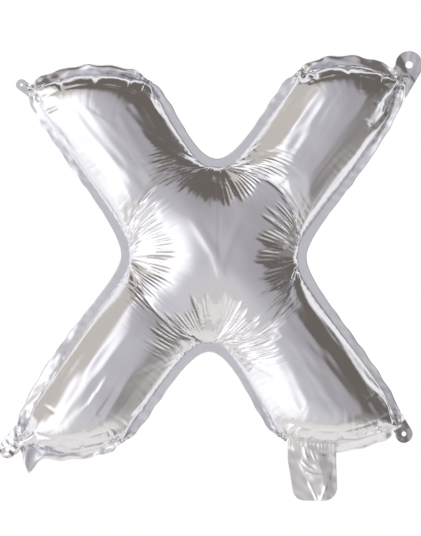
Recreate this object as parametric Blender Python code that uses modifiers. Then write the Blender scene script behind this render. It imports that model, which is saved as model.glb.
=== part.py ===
"""Letter X foil balloon, 16 inch class: two film panels, a heat-sealed rim, a filling neck and hanging ears.

Units are metres, +Z is up, +X is to the right of the letter and the front faces -Y.
The origin is the middle of the letter, inside the envelope, where the air holds it up.
"""

import math

import bmesh
import bpy
from mathutils import Vector

# Films. The real film is 0.04 mm thick, so these walls stand in for it at a thickness that holds as a solid.
WALL = 0.0020
PLY = 0.0008
VALVE_FILM = 0.0005
CLEARANCE = 0.0003

# Inflated depth, measured from the seam plane to one side.
ARM_DEPTH = 0.034
CENTRE_DEPTH = 0.040
CREASE_DROP = 0.0055
CREASE_REACH = 0.25
DOME_ROUNDNESS = 0.75
NOTCH_HOLLOW = 0.0130
SKIRT = 0.0010

# The inflated letter, measured between the seam's corners.
LETTER_WIDTH = 0.342
LETTER_HEIGHT = 0.333


def spot(across, up):
    """A place as (x, z), from shares of half the letter's width and height."""
    return Vector((across * LETTER_WIDTH / 2, up * LETTER_HEIGHT / 2))


# The seam line: the notches are where two arms meet, and each arm's end has an inner and an outer corner.
TOP_NOTCH = spot(0.023, 0.474)
RIGHT_NOTCH = spot(0.444, -0.006)
BOTTOM_NOTCH = spot(-0.018, -0.468)
LEFT_NOTCH = spot(-0.433, 0.000)
UPPER_RIGHT_INNER = spot(0.462, 0.979)
UPPER_RIGHT_OUTER = spot(0.988, 0.943)
LOWER_RIGHT_OUTER = spot(0.971, -0.907)
LOWER_RIGHT_INNER = spot(0.357, -0.955)
LOWER_LEFT_INNER = spot(-0.480, -0.985)
LOWER_LEFT_OUTER = spot(-1.012, -1.009)
UPPER_LEFT_OUTER = spot(-0.953, 0.895)
UPPER_LEFT_INNER = spot(-0.339, 0.925)
HIGH_NOTCH_ROUNDING = 0.026
SIDE_NOTCH_ROUNDING = 0.032
SIDE_ARRIVAL = 0.4
INNER_FULLNESS = -0.004
UPPER_RIGHT_OUTER_FULLNESS = 0.016
LOWER_RIGHT_OUTER_FULLNESS = 0.008
LOWER_LEFT_OUTER_FULLNESS = 0.022
UPPER_LEFT_OUTER_FULLNESS = 0.002

# How far the ends of the arms, and the crease round the middle, bulge away from the straight line.
UPPER_END_BULGE = 0.012
LOWER_RIGHT_END_BULGE = 0.013
LOWER_LEFT_END_BULGE = 0.009
UPPER_CREASE_BULGE = 0.028
LOWER_RIGHT_CREASE_BULGE = 0.025
LOWER_LEFT_CREASE_BULGE = 0.016

# Heat-sealed rim around the envelope: scalloped by the inflation and drawn in at the corners.
RIM_WIDTH = 0.0085
SCALLOP_DEPTH = 0.0012
SCALLOP_PITCH = 0.021
CORNER_NARROWING = 0.45
CORNER_REACH = 0.009
FLAP_TIP = LOWER_LEFT_OUTER + Vector((0.0075, -0.0305))
FLAP_HEEL = LOWER_LEFT_OUTER + Vector((0.0140, -0.0210))

# Filling neck, or tail, under the lower right arm, with the valve film between its two plies.
NECK_INSET = 0.0278
NECK_MIDDLE = LOWER_RIGHT_INNER.x + NECK_INSET
NECK_WIDTH = 0.0445
NECK_LENGTH = 0.0520
NECK_CORNER = 0.012
NECK_LEAN = 0.001
NECK_TAPER = 0.004
VALVE_WIDTH = 0.026
VALVE_SHORTFALL = 0.003

# Hanging ears outside the outer corners: the middle of each round head, its radius, and the punched ribbon hole.
UPPER_RIGHT_EAR = UPPER_RIGHT_OUTER + Vector((0.0080, 0.0150))
UPPER_RIGHT_EAR_RADIUS = 0.0125
LOWER_RIGHT_EAR = LOWER_RIGHT_OUTER + Vector((0.0065, -0.0095))
LOWER_RIGHT_EAR_RADIUS = 0.0080
LOWER_LEFT_EAR = LOWER_LEFT_OUTER + Vector((-0.0115, -0.0060))
LOWER_LEFT_EAR_RADIUS = 0.0080
UPPER_LEFT_EAR = UPPER_LEFT_OUTER + Vector((-0.0090, 0.0050))
UPPER_LEFT_EAR_RADIUS = 0.0050
EAR_HOLE_SHARE = 0.27

# Grid of the panels: steps across an arm, along an arm, and over its rounded end.
ACROSS = 12
ALONG = 8
OVER_END = 5
END_SHARE = 0.34
ARC_STEPS = 14
RIM_STEPS = 2

COLLECTION = "letter_foil_balloon"


def clear_scene():
    for old in list(bpy.data.objects):
        bpy.data.objects.remove(old, do_unlink=True)


def make_collection(name):
    made = bpy.data.collections.new(name)
    bpy.context.scene.collection.children.link(made)
    return made


def make_material(name, colour, metallic, roughness, alpha=1.0):
    material = bpy.data.materials.new(name)
    material.use_nodes = True
    shader = material.node_tree.nodes["Principled BSDF"]
    shader.inputs["Base Color"].default_value = (*colour, 1.0)
    shader.inputs["Metallic"].default_value = metallic
    shader.inputs["Roughness"].default_value = roughness
    shader.inputs["Alpha"].default_value = alpha
    return material


# Curves of the seam line


def bezier(start, start_handle, end_handle, end, t):
    s = 1.0 - t
    return s**3 * start + 3 * s * s * t * start_handle + 3 * s * t * t * end_handle + t**3 * end


def arm_side(notch, corner, fullness, t):
    """A point on the seam from a notch to a corner of an arm's end. It leaves the notch square to its middle."""
    if abs(notch.x) < abs(notch.y):
        leaving = Vector((math.copysign(HIGH_NOTCH_ROUNDING, corner.x - notch.x), 0.0))
    else:
        leaving = Vector((0.0, math.copysign(SIDE_NOTCH_ROUNDING, corner.y - notch.y)))
    run = corner - notch
    outwards = Vector((-run.y, run.x)).normalized()
    if outwards.dot(leaving) > 0:
        outwards = -outwards
    arriving = corner - SIDE_ARRIVAL * run + fullness * outwards
    return bezier(notch, notch + leaving, arriving, corner, t)


def bowed_line(start, end, bulge, t):
    """A point on a shallow arc from start to end that bulges away from the middle of the letter."""
    run = end - start
    outwards = Vector((-run.y, run.x)).normalized()
    if outwards.dot(start + end) < 0:
        outwards = -outwards
    return start + t * run + 4 * t * (1 - t) * bulge * outwards


class Arm:
    """One arm of the letter, between two notches, with the two corners of its end, going clockwise."""

    def __init__(self, name, notches, corners, fullnesses, end_bulge, crease_bulge):
        self.name = name
        self.first_notch, self.last_notch = notches
        self.first_corner, self.last_corner = corners
        self.first_fullness, self.last_fullness = fullnesses
        self.end_bulge = end_bulge
        self.crease_bulge = crease_bulge

    def first_side(self, t):
        return arm_side(self.first_notch, self.first_corner, self.first_fullness, t)

    def last_side(self, t):
        return arm_side(self.last_notch, self.last_corner, self.last_fullness, t)

    def base(self, u):
        return bowed_line(self.first_notch, self.last_notch, self.crease_bulge, u)

    def end(self, u):
        return bowed_line(self.first_corner, self.last_corner, self.end_bulge, u)

    def place(self, u, v):
        """The plan position of a point u across and v along the arm, blended from its four edges."""
        between_sides = (1 - u) * self.first_side(v) + u * self.last_side(v)
        between_ends = (1 - v) * self.base(u) + v * self.end(u)
        corners = (1 - v) * ((1 - u) * self.first_notch + u * self.last_notch)
        corners += v * ((1 - u) * self.first_corner + u * self.last_corner)
        return between_sides + between_ends - corners


UPPER_RIGHT_ARM = Arm(
    "upper_right",
    (TOP_NOTCH, RIGHT_NOTCH),
    (UPPER_RIGHT_INNER, UPPER_RIGHT_OUTER),
    (INNER_FULLNESS, UPPER_RIGHT_OUTER_FULLNESS),
    UPPER_END_BULGE,
    UPPER_CREASE_BULGE,
)
LOWER_RIGHT_ARM = Arm(
    "lower_right",
    (RIGHT_NOTCH, BOTTOM_NOTCH),
    (LOWER_RIGHT_OUTER, LOWER_RIGHT_INNER),
    (LOWER_RIGHT_OUTER_FULLNESS, INNER_FULLNESS),
    LOWER_RIGHT_END_BULGE,
    LOWER_RIGHT_CREASE_BULGE,
)
LOWER_LEFT_ARM = Arm(
    "lower_left",
    (BOTTOM_NOTCH, LEFT_NOTCH),
    (LOWER_LEFT_INNER, LOWER_LEFT_OUTER),
    (INNER_FULLNESS, LOWER_LEFT_OUTER_FULLNESS),
    LOWER_LEFT_END_BULGE,
    LOWER_LEFT_CREASE_BULGE,
)
UPPER_LEFT_ARM = Arm(
    "upper_left",
    (LEFT_NOTCH, TOP_NOTCH),
    (UPPER_LEFT_OUTER, UPPER_LEFT_INNER),
    (UPPER_LEFT_OUTER_FULLNESS, INNER_FULLNESS),
    UPPER_END_BULGE,
    UPPER_CREASE_BULGE,
)
ARMS = [UPPER_RIGHT_ARM, LOWER_RIGHT_ARM, LOWER_LEFT_ARM, UPPER_LEFT_ARM]


# Steps along the grid: even angles across an arm and over its end, so that both round off like an ellipse


def across_share(step):
    return (1 - math.cos(math.pi * step / ACROSS)) / 2


def across_rise(step):
    return math.sin(math.pi * step / ACROSS)


def along_share(step):
    """The share of the arm's length that a row lies at, and how much of the full depth it has."""
    start_of_end = 1 - END_SHARE
    if step <= ALONG:
        return start_of_end * step / ALONG, 1.0
    angle = math.pi / 2 * (step - ALONG) / OVER_END
    return start_of_end + END_SHARE * math.sin(angle), math.cos(angle)


# Inflated panels


def crease_depth():
    """Depth on the crease around the middle, where the arms fold away from the centre."""
    return ARM_DEPTH - CREASE_DROP


def arm_height(u_step, v_step):
    share, fall = along_share(v_step)
    past_crease = min(1.0, share / CREASE_REACH)
    full = crease_depth() + CREASE_DROP * math.sin(math.pi / 2 * past_crease)
    return full * across_rise(u_step) * fall


def centre_place(u_step, w_step):
    """Plan position in the middle field. Its corners are the notches and its edges are the arms' bases."""
    u, w = across_share(u_step), across_share(w_step)
    edges = (1 - w) * UPPER_RIGHT_ARM.base(u) + w * LOWER_LEFT_ARM.base(1 - u)
    edges += (1 - u) * UPPER_LEFT_ARM.base(1 - w) + u * LOWER_RIGHT_ARM.base(w)
    corners = (1 - w) * ((1 - u) * TOP_NOTCH + u * RIGHT_NOTCH)
    corners += w * ((1 - u) * LEFT_NOTCH + u * BOTTOM_NOTCH)
    return edges - corners


def centre_height(u_step, w_step):
    across = math.cos(math.pi * u_step / ACROSS) ** 2
    down = math.cos(math.pi * w_step / ACROSS) ** 2
    rise = math.sqrt(max(0.0, 1 - across * down))
    inside = (1 - across) * (1 - down)
    dome = (CENTRE_DEPTH - crease_depth()) * max(0.0, inside) ** DOME_ROUNDNESS
    hollow = 16 * NOTCH_HOLLOW * across * down * inside
    return crease_depth() * rise + dome - hollow


def add_patch(mesh, columns, rows, place, height, side):
    """Adds a grid of columns by rows and moves each of its points to the place and height of its step."""
    made = bmesh.ops.create_grid(mesh, x_segments=columns, y_segments=rows, size=1.0)
    for vertex in made["verts"]:
        column = round((vertex.co.x + 1) / 2 * columns)
        row = round((vertex.co.y + 1) / 2 * rows)
        spot = place(column, row)
        depth = CLEARANCE / 2 + SKIRT + height(column, row)
        vertex.co = Vector((spot.x, side * depth, spot.y))


def add_skirt(mesh, side):
    """A short wall square to the seam plane, so that the panel's edge ends flat."""
    edge = [e for e in mesh.edges if e.is_boundary]
    made = bmesh.ops.extrude_edge_only(mesh, edges=edge)
    for item in made["geom"]:
        if isinstance(item, bmesh.types.BMVert):
            item.co.y = side * CLEARANCE / 2


def make_panel(name, side, material, collection):
    """One inflated panel. The side is -1 for the front and +1 for the rear."""
    mesh = bmesh.new()
    rows = ALONG + OVER_END

    def arm_patch(arm):
        def place(column, row):
            return arm.place(across_share(column), along_share(row)[0])

        add_patch(mesh, ACROSS, rows, place, arm_height, side)

    add_patch(mesh, ACROSS, ACROSS, centre_place, centre_height, side)
    for arm in ARMS:
        arm_patch(arm)
    bmesh.ops.remove_doubles(mesh, verts=mesh.verts, dist=0.00001)
    add_skirt(mesh, side)
    bmesh.ops.recalc_face_normals(mesh, faces=mesh.faces)
    middle = min(mesh.faces, key=lambda f: f.calc_center_median().xz.length)
    if middle.normal.y * side < 0:
        bmesh.ops.reverse_faces(mesh, faces=mesh.faces)
    data = bpy.data.meshes.new(name)
    mesh.to_mesh(data)
    mesh.free()
    data.materials.append(material)
    data.shade_smooth()
    panel = bpy.data.objects.new(name, data)
    collection.objects.link(panel)
    wall = panel.modifiers.new("film wall", "SOLIDIFY")
    wall.thickness = WALL
    wall.offset = -1.0
    return panel


# Flat welded film: rim, neck and ears


class Seam:
    """The closed seam line, clockwise from the top notch, with a number of points for each step of the panels."""

    def __init__(self, steps):
        self.steps = steps
        self.points = []
        self.ends = {}
        rows = (ALONG + OVER_END) * steps
        columns = ACROSS * steps
        for arm in ARMS:
            self.points += [arm.first_side(along_share(row / steps)[0]) for row in range(rows)]
            start = len(self.points)
            self.points += [arm.end(across_share(column / steps)) for column in range(columns)]
            self.ends[arm.name] = (start, start + columns)
            self.points += [arm.last_side(along_share(row / steps)[0]) for row in range(rows, 0, -1)]

    def inner_edge(self):
        """The line moved off the panels' walls by the clearance."""
        return offset_line(self.points, [CLEARANCE] * len(self.points))

    def rim_edge(self):
        """The outer edge of the rim, with the scallops that the gathered film makes in it."""
        corners = []
        for arm in ARMS:
            corners += [arm.first_corner, arm.last_corner]
        widths = []
        travelled = 0.0
        for index, point in enumerate(self.points):
            travelled += (point - self.points[index - 1]).length
            scallop = SCALLOP_DEPTH * math.cos(2 * math.pi * travelled / SCALLOP_PITCH)
            corner_distance = min((point - corner).length for corner in corners)
            drawn_in = 1 - CORNER_NARROWING * math.exp(-((corner_distance / CORNER_REACH) ** 2))
            widths.append((RIM_WIDTH + scallop) * drawn_in)
        return offset_line(self.points, widths)

    def flapped_edge(self):
        """The rim's edge with the pointed flap that has twisted out at the lower left corner."""
        edge = self.rim_edge()
        corner = self.ends["lower_left"][1]
        last = corner - self.steps
        first = last - 2 * self.steps
        return edge[:first] + [FLAP_HEEL, FLAP_TIP] + edge[last:]

    def either_side_of_neck(self, width):
        """The last point before the neck and the first one after it, for something of that width in its middle."""
        start, stop = self.ends["lower_right"]
        before = max(i for i in range(start, stop) if self.points[i].x > NECK_MIDDLE + width / 2)
        after = min(i for i in range(start, stop) if self.points[i].x < NECK_MIDDLE - width / 2)
        return before, after


def offset_line(points, widths):
    """The seam line moved outwards by one width per point, which rounds off its corners."""
    moved = []
    for index, point in enumerate(points):
        arriving = (point - points[index - 1]).normalized()
        leaving = (points[(index + 1) % len(points)] - point).normalized()
        outwards = Vector((-arriving.y - leaving.y, arriving.x + leaving.x)).normalized()
        moved.append(point + outwards * widths[index])
    return moved


def crossing(line, first, second, x):
    """Where the line between two of its points passes a given x."""
    a, b = line[first], line[second]
    return a.lerp(b, (x - a.x) / (b.x - a.x))


def flat_piece(name, outlines, thickness, middle_y, material, collection):
    """A sheet of film in the XZ plane, from closed outlines: the first goes round it and the others round holes."""
    curve = bpy.data.curves.new(name, "CURVE")
    curve.dimensions = "2D"
    curve.fill_mode = "BOTH"
    curve.extrude = thickness / 2
    for outline in outlines:
        spline = curve.splines.new("POLY")
        spline.points.add(len(outline) - 1)
        for point, spot in zip(spline.points, outline):
            point.co = (spot.x, spot.y, 0.0, 1.0)
        spline.use_cyclic_u = True
    curve.materials.append(material)
    piece = bpy.data.objects.new(name, curve)
    piece.rotation_euler = (math.pi / 2, 0.0, 0.0)
    piece.location = (0.0, middle_y, 0.0)
    collection.objects.link(piece)
    return piece


def open_at_neck(line, seam, width):
    """The part of a closed line that goes round the letter from the neck's left edge to its right one."""
    before, after = seam.either_side_of_neck(width)
    path = [crossing(line, after - 1, after, NECK_MIDDLE - width / 2)]
    path += line[after:] + line[: before + 1]
    path.append(crossing(line, before, before + 1, NECK_MIDDLE + width / 2))
    return path


def make_rim(seam, fine_seam, material, collection):
    """The heat-sealed rim: one strip all round the letter, open only where the neck comes out."""
    width = NECK_WIDTH + 2 * CLEARANCE
    outer = open_at_neck(fine_seam.flapped_edge(), fine_seam, width)
    inner = open_at_neck(seam.inner_edge(), seam, width)
    return flat_piece("sealed_rim", [outer + inner[::-1]], 2 * PLY, 0.0, material, collection)


def neck_outline(seam, width, length):
    """Outline of a neck ply or of the valve film: it starts at the seam and its free end has round corners."""
    left = NECK_MIDDLE - width / 2
    right = NECK_MIDDLE + width / 2
    line = seam.inner_edge()
    before, after = seam.either_side_of_neck(width)
    root = [crossing(line, before, before + 1, right)]
    root += line[before + 1 : after]
    root.append(crossing(line, after - 1, after, left))
    top = min(spot.y for spot in root)
    shoulder = top - RIM_WIDTH - SCALLOP_DEPTH
    corner = NECK_CORNER * width / NECK_WIDTH
    bottom = top - length
    tail = [Vector((left, shoulder))]
    corners = ((left + NECK_TAPER + corner, math.pi), (right - corner, 1.5 * math.pi))
    for centre_x, first_angle in corners:
        centre = Vector((centre_x + NECK_LEAN, bottom + corner))
        for step in range(ARC_STEPS // 2 + 1):
            angle = first_angle + math.pi / 2 * step / (ARC_STEPS // 2)
            tail.append(centre + corner * Vector((math.cos(angle), math.sin(angle))))
    tail.append(Vector((right, shoulder)))
    return root + tail


def make_neck(seam, film, clear_film, collection):
    """Two foil plies with the thin valve film between them."""
    outline = neck_outline(seam, NECK_WIDTH, NECK_LENGTH)
    middle_y = VALVE_FILM / 2 + CLEARANCE + PLY / 2
    flat_piece("neck_front_ply", [outline], PLY, -middle_y, film, collection)
    flat_piece("neck_rear_ply", [outline], PLY, middle_y, film, collection)
    valve = neck_outline(seam, VALVE_WIDTH, NECK_LENGTH - VALVE_SHORTFALL)
    flat_piece("valve_film", [valve], VALVE_FILM, 0.0, clear_film, collection)


class Ear:
    """A hanging ear: the end corner that it grows from, its round head, and the rim points that its root follows."""

    def __init__(self, name, arm_name, corner, head, radius, steps_before, steps_after):
        self.name = name
        self.arm_name = arm_name
        self.corner = corner
        self.head = head
        self.radius = radius
        self.steps_before = steps_before
        self.steps_after = steps_after


EARS = [
    Ear("upper_right_ear", "upper_right", 1, UPPER_RIGHT_EAR, UPPER_RIGHT_EAR_RADIUS, 4, 4),
    Ear("lower_right_ear", "lower_right", 0, LOWER_RIGHT_EAR, LOWER_RIGHT_EAR_RADIUS, 3, 3),
    Ear("lower_left_ear", "lower_left", 1, LOWER_LEFT_EAR, LOWER_LEFT_EAR_RADIUS, 0, 4),
    Ear("upper_left_ear", "upper_left", 0, UPPER_LEFT_EAR, UPPER_LEFT_EAR_RADIUS, 2, 2),
]


def tangent_angle(ear, point, turn):
    """Where on the ear's head a straight edge from the rim meets it without a kink."""
    reach = point - ear.head
    wrap = math.acos(min(1.0, ear.radius / reach.length))
    return math.atan2(reach.y, reach.x) + turn * wrap


def make_ear(ear, fine_seam, material, collection):
    """A round hanging ear outside a corner of the rim, with a punched hole."""
    edge = fine_seam.rim_edge()
    line = offset_line(edge, [CLEARANCE] * len(edge))
    corner = fine_seam.ends[ear.arm_name][ear.corner]
    first = corner - ear.steps_before
    while (line[first] - ear.head).length < ear.radius:
        first -= 1
    last = corner + ear.steps_after
    while (line[last] - ear.head).length < ear.radius:
        last += 1
    root = line[first : last + 1]
    start = tangent_angle(ear, root[-1], 1)
    stop = tangent_angle(ear, root[0], -1)
    turn = (stop - start) % (2 * math.pi)
    head = []
    for step in range(ARC_STEPS + 1):
        angle = start + turn * step / ARC_STEPS
        head.append(ear.head + ear.radius * Vector((math.cos(angle), math.sin(angle))))
    hole = []
    for step in range(ARC_STEPS):
        angle = 2 * math.pi * step / ARC_STEPS
        hole.append(ear.head + EAR_HOLE_SHARE * ear.radius * Vector((math.cos(angle), math.sin(angle))))
    return flat_piece(ear.name, [root + head, hole], 2 * PLY, 0.0, material, collection)


def build():
    clear_scene()
    collection = make_collection(COLLECTION)
    foil = make_material("silver_foil", (0.76, 0.76, 0.78), 1.0, 0.12)
    weld = make_material("welded_foil", (0.70, 0.70, 0.72), 1.0, 0.22)
    clear_film = make_material("clear_valve_film", (0.85, 0.87, 0.88), 0.0, 0.15, 0.5)
    make_panel("front_panel", -1, foil, collection)
    make_panel("rear_panel", 1, foil, collection)
    seam = Seam(1)
    fine_seam = Seam(RIM_STEPS)
    make_rim(seam, fine_seam, weld, collection)
    make_neck(seam, weld, clear_film, collection)
    for ear in EARS:
        make_ear(ear, fine_seam, weld, collection)


build()
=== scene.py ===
# %% [markdown]
# # A letter foil balloon, step by step
#
# The real thing is two sheets of thin metallised film, cut to the shape of a letter and welded
# together along the edge. Air blown in through a soft neck swells them, and because the film can
# bend but hardly stretch, its edge has to gather: that is where all its puckers come from.
#
# The lesson follows that order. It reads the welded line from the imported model, lays out a flat
# sheet that is a little wider, blows it up with Blender's cloth simulation, sets it back on the
# welded line, and then adds the fine pleats, the flat rim, the neck and the hanging ears.

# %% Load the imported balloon
import math
from typing import NamedTuple

import bmesh
import bpy
import numpy as np
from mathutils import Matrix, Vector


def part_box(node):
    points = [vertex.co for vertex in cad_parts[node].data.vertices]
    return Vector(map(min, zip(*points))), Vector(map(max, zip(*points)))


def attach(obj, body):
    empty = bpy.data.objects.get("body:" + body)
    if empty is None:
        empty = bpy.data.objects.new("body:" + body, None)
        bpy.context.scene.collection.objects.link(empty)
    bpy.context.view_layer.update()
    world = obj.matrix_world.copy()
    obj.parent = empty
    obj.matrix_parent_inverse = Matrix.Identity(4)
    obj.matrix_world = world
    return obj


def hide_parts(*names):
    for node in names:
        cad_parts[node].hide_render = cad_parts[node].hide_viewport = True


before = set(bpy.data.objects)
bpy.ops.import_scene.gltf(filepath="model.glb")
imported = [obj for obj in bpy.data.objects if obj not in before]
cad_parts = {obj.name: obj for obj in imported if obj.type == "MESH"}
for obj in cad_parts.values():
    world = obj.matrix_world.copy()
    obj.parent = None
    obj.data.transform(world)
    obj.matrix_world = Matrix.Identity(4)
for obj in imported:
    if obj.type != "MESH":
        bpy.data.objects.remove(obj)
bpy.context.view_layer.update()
print("nodes of the packed balloon:", sorted(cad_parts))

# %% [markdown]
# ## The camera
#
# The photograph looks square at the front of the letter, from so far away that its edges hardly
# converge. One of its pixels shows 0.9 mm of the letter. A camera 2.2 m in front with a long lens
# gives the same view, and a helper turns a place in the photograph into a place on the letter, so
# that a fold can be put where it is seen.

# %% Set up the camera
PIXEL = 0.0009
FRAME_WIDTH, FRAME_HEIGHT = 421, 536
ORIGIN_ACROSS, ORIGIN_DOWN = 212.5, 256.0
CAMERA_DISTANCE = 2.2


def at_pixel(across, down):
    """The place (x, z) on the letter that a pixel of the photograph shows."""
    return (across - ORIGIN_ACROSS) * PIXEL, (ORIGIN_DOWN - down) * PIXEL


middle_x, middle_z = at_pixel(FRAME_WIDTH / 2, FRAME_HEIGHT / 2)
bpy.ops.object.select_all(action="DESELECT")
bpy.ops.object.camera_add(location=(middle_x, -CAMERA_DISTANCE, middle_z), rotation=(math.pi / 2, 0, 0))
camera = bpy.context.object
camera.name = "front_camera"
camera.data.lens = camera.data.sensor_width * CAMERA_DISTANCE / (FRAME_HEIGHT * PIXEL)
bpy.context.scene.camera = camera
print(f"lens {camera.data.lens:.0f} mm")

# %% [markdown]
# ## The welded line
#
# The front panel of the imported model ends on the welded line. Reading it from there keeps the
# film, the rim and the model in step, so nothing has to be fitted by eye. The same helper reads the
# outline of any flat node, and the holes in it.


# %% Read a flat outline from a node
SAME_PLACE = 1e-6
SAME_LEVEL = 1e-5
FACING = 0.99


def walk_round(links, start):
    """The points of a closed line in order, where links gives the two neighbours of each point."""
    walk = [start]
    before = None
    while True:
        after = [i for i in links[walk[-1]] if i != before][0]
        if after == start:
            return walk
        before = walk[-1]
        walk.append(after)


def flat_lines(node, side):
    """Closed lines (x, z) where a node's flat face ends, at its front (-1) or rear (+1), longest first."""
    mesh = bmesh.new()
    mesh.from_mesh(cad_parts[node].data)
    bmesh.ops.remove_doubles(mesh, verts=mesh.verts, dist=SAME_PLACE)
    limit = max(side * v.co.y for v in mesh.verts) - SAME_LEVEL
    links = {}
    for edge in mesh.edges:
        a, b = edge.verts
        if min(side * a.co.y, side * b.co.y) < limit or len(edge.link_faces) != 2:
            continue
        level = [side * face.normal.y > FACING for face in edge.link_faces]
        if level[0] != level[1]:
            links.setdefault(a.index, []).append(b.index)
            links.setdefault(b.index, []).append(a.index)
    mesh.verts.ensure_lookup_table()
    lines = []
    waiting = sorted(links)
    while waiting:
        walk = walk_round(links, waiting[0])
        waiting = [i for i in waiting if i not in set(walk)]
        lines.append(clockwise(np.array([(mesh.verts[i].co.x, mesh.verts[i].co.z) for i in walk])))
    mesh.free()
    return sorted(lines, key=lambda line: -line_length(line))


def line_length(line):
    return np.linalg.norm(np.roll(line, -1, axis=0) - line, axis=1).sum()


def clockwise(line):
    following = np.roll(line, -1, axis=0)
    area = np.sum(line[:, 0] * following[:, 1] - following[:, 0] * line[:, 1])
    return line if area < 0 else line[::-1]


# %% [markdown]
# The line has four notches, where two arms meet, and eight corners, two on each arm's end. Starting
# the line at the top notch and finding the others gives every later step its landmarks.


# %% Find the notches and corners
NOTCH_ZONE = 0.1


def turning(line):
    """How far the line turns at each of its points, in radians, to the left as positive."""
    arriving = line - np.roll(line, 1, axis=0)
    leaving = np.roll(line, -1, axis=0) - line
    cross = arriving[:, 0] * leaving[:, 1] - arriving[:, 1] * leaving[:, 0]
    return np.arctan2(cross, (arriving * leaving).sum(axis=1))


def nearest_dips(line):
    """The points where the line comes closest to the middle of the letter."""
    reach = np.linalg.norm(line, axis=1)
    dips = (reach <= np.roll(reach, 1)) & (reach < np.roll(reach, -1)) & (reach < NOTCH_ZONE)
    return [int(i) for i in np.nonzero(dips)[0]]


weld_line = flat_lines("front_panel", 1)[0]
top_notch = min(nearest_dips(weld_line), key=lambda i: abs(weld_line[i, 0]) - weld_line[i, 1])
weld_line = np.roll(weld_line, -top_notch, axis=0)
notches = nearest_dips(weld_line)
corners = [int(i) for i in sorted(np.argsort(-np.abs(turning(weld_line)))[:8])]
print(f"welded line {line_length(weld_line):.3f} m, notches {notches}, corners {corners}")

# %% [markdown]
# ## The flat sheet
#
# A tube of film 93 mm wide can't be made from two strips 93 mm wide: blown up, it would draw in.
# The sheets are cut wider, and the welded line is drawn in as they swell. How much wider differs
# along the edge. It is less at the notches, where the film is stretched tight between the arms, and
# less at the outer corners, where there is room to spare.

# %% Cut the sheet wider than the letter
SHEET_ALLOWANCE = 0.0165
NOTCH_ALLOWANCE = 0.0130
NOTCH_REACH = 0.028
CORNER_SAVING = 0.006
CORNER_REACH = 0.012
NOTCH_SMOOTHING = 0.025
SMOOTHINGS = 3
RIM_WIDTH = 0.0085


def travelled(line):
    """Distance along a closed line to each of its points, and its whole length."""
    steps = np.linalg.norm(np.roll(line, -1, axis=0) - line, axis=1)
    return np.concatenate([[0], np.cumsum(steps)[:-1]]), steps.sum()


def nearness(distance, whole, index, reach):
    """1 at a point of a closed line, falling to 0 over a reach on either side."""
    away = np.abs(distance - distance[index])
    away = np.minimum(away, whole - away)
    return np.exp(-((away / reach) ** 2))


def outwards(line):
    """The direction away from a clockwise line at each of its points, lengthened where it turns."""
    arriving = line - np.roll(line, 1, axis=0)
    leaving = np.roll(line, -1, axis=0) - line
    arriving = arriving / np.linalg.norm(arriving, axis=1)[:, None]
    leaving = leaving / np.linalg.norm(leaving, axis=1)[:, None]
    left_of_arriving = np.stack([-arriving[:, 1], arriving[:, 0]], axis=1)
    left_of_leaving = np.stack([-leaving[:, 1], leaving[:, 0]], axis=1)
    way = left_of_arriving + left_of_leaving
    way = way / np.linalg.norm(way, axis=1)[:, None]
    return way / np.maximum(0.5, (way * left_of_arriving).sum(axis=1))[:, None]


distance, whole = travelled(weld_line)
allowance = np.full(len(weld_line), SHEET_ALLOWANCE)
near_notch = np.zeros(len(weld_line))
for index in notches:
    less = (SHEET_ALLOWANCE - NOTCH_ALLOWANCE) * nearness(distance, whole, index, NOTCH_REACH)
    allowance = np.minimum(allowance, SHEET_ALLOWANCE - less)
    near_notch = np.maximum(near_notch, nearness(distance, whole, index, NOTCH_SMOOTHING))
for index in (corners[1], corners[2], corners[5], corners[6]):
    allowance = allowance - CORNER_SAVING * nearness(distance, whole, index, CORNER_REACH)
cut_line = weld_line + outwards(weld_line) * allowance[:, None]
for smoothing in range(SMOOTHINGS):
    between = (np.roll(cut_line, 1, axis=0) + np.roll(cut_line, -1, axis=0)) / 2
    cut_line = cut_line + 0.5 * near_notch[:, None] * (between - cut_line)
print(f"cut line {line_length(cut_line):.3f} m")

# %% [markdown]
# ## A grid over the letter
#
# The film needs an even grid of quads that runs along each arm, because folds follow the lines of a
# mesh. Each arm is one patch between its four edges, and the middle is a fifth patch whose corners
# are the notches. Every point gets two places: one in the inflated letter, where the sideways steps
# bunch up towards the edges like the steps round a tube, and one in the flat sheet, where they are
# even. The patches are filled by blending their edges, the way a sheet of rubber fills a frame.

# %% Steps of the grid
STEPS_ACROSS = 36
ROWS_ALONG = 27
ROWS_OVER_END = 15
EVEN_PART = 0.45
END_SHARE = 0.34
END_FULLNESS = 2.7
ARM_LENGTH = 0.105
ARM_DEPTH = 0.034
CREASE_DEPTH = 0.0285
CREASE_REACH = 0.25
CENTRE_DEPTH = 0.040
DOME_ROUNDNESS = 0.75
NOTCH_HOLLOW = 0.0060
CUT_BULGES = (0.018, 0.018, 0.018, 0.018)
BLOWN_BULGES = (0.028, 0.025, 0.016, 0.028)

even = np.linspace(0, 1, STEPS_ACROSS + 1)
sheet_across = 0.5 * even + 0.25 * (1 - np.cos(np.pi * even))
tube_across = (1 - np.cos(np.pi * sheet_across)) / 2
row = np.arange(ROWS_ALONG + ROWS_OVER_END + 1)
to_end = np.clip(row / ROWS_ALONG, 0, 1)
to_end = EVEN_PART * to_end + (1 - EVEN_PART) * to_end**2
turned = np.linspace(0, np.pi / 2, 400)
reach_of_end = np.sin(turned) ** (2 / END_FULLNESS)
height_of_end = np.clip(np.cos(turned), 0, 1) ** (2 / END_FULLNESS)
around = np.hypot(np.diff(reach_of_end) * END_SHARE * ARM_LENGTH, np.diff(height_of_end) * ARM_DEPTH)
around = np.concatenate([[0], np.cumsum(around)])
over_end = around[-1] * np.clip((row - ROWS_ALONG) / ROWS_OVER_END, 0, 1)
tube_along = (1 - END_SHARE) * to_end + END_SHARE * np.interp(over_end, around, reach_of_end)
fall = np.interp(over_end, around, height_of_end)
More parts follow.
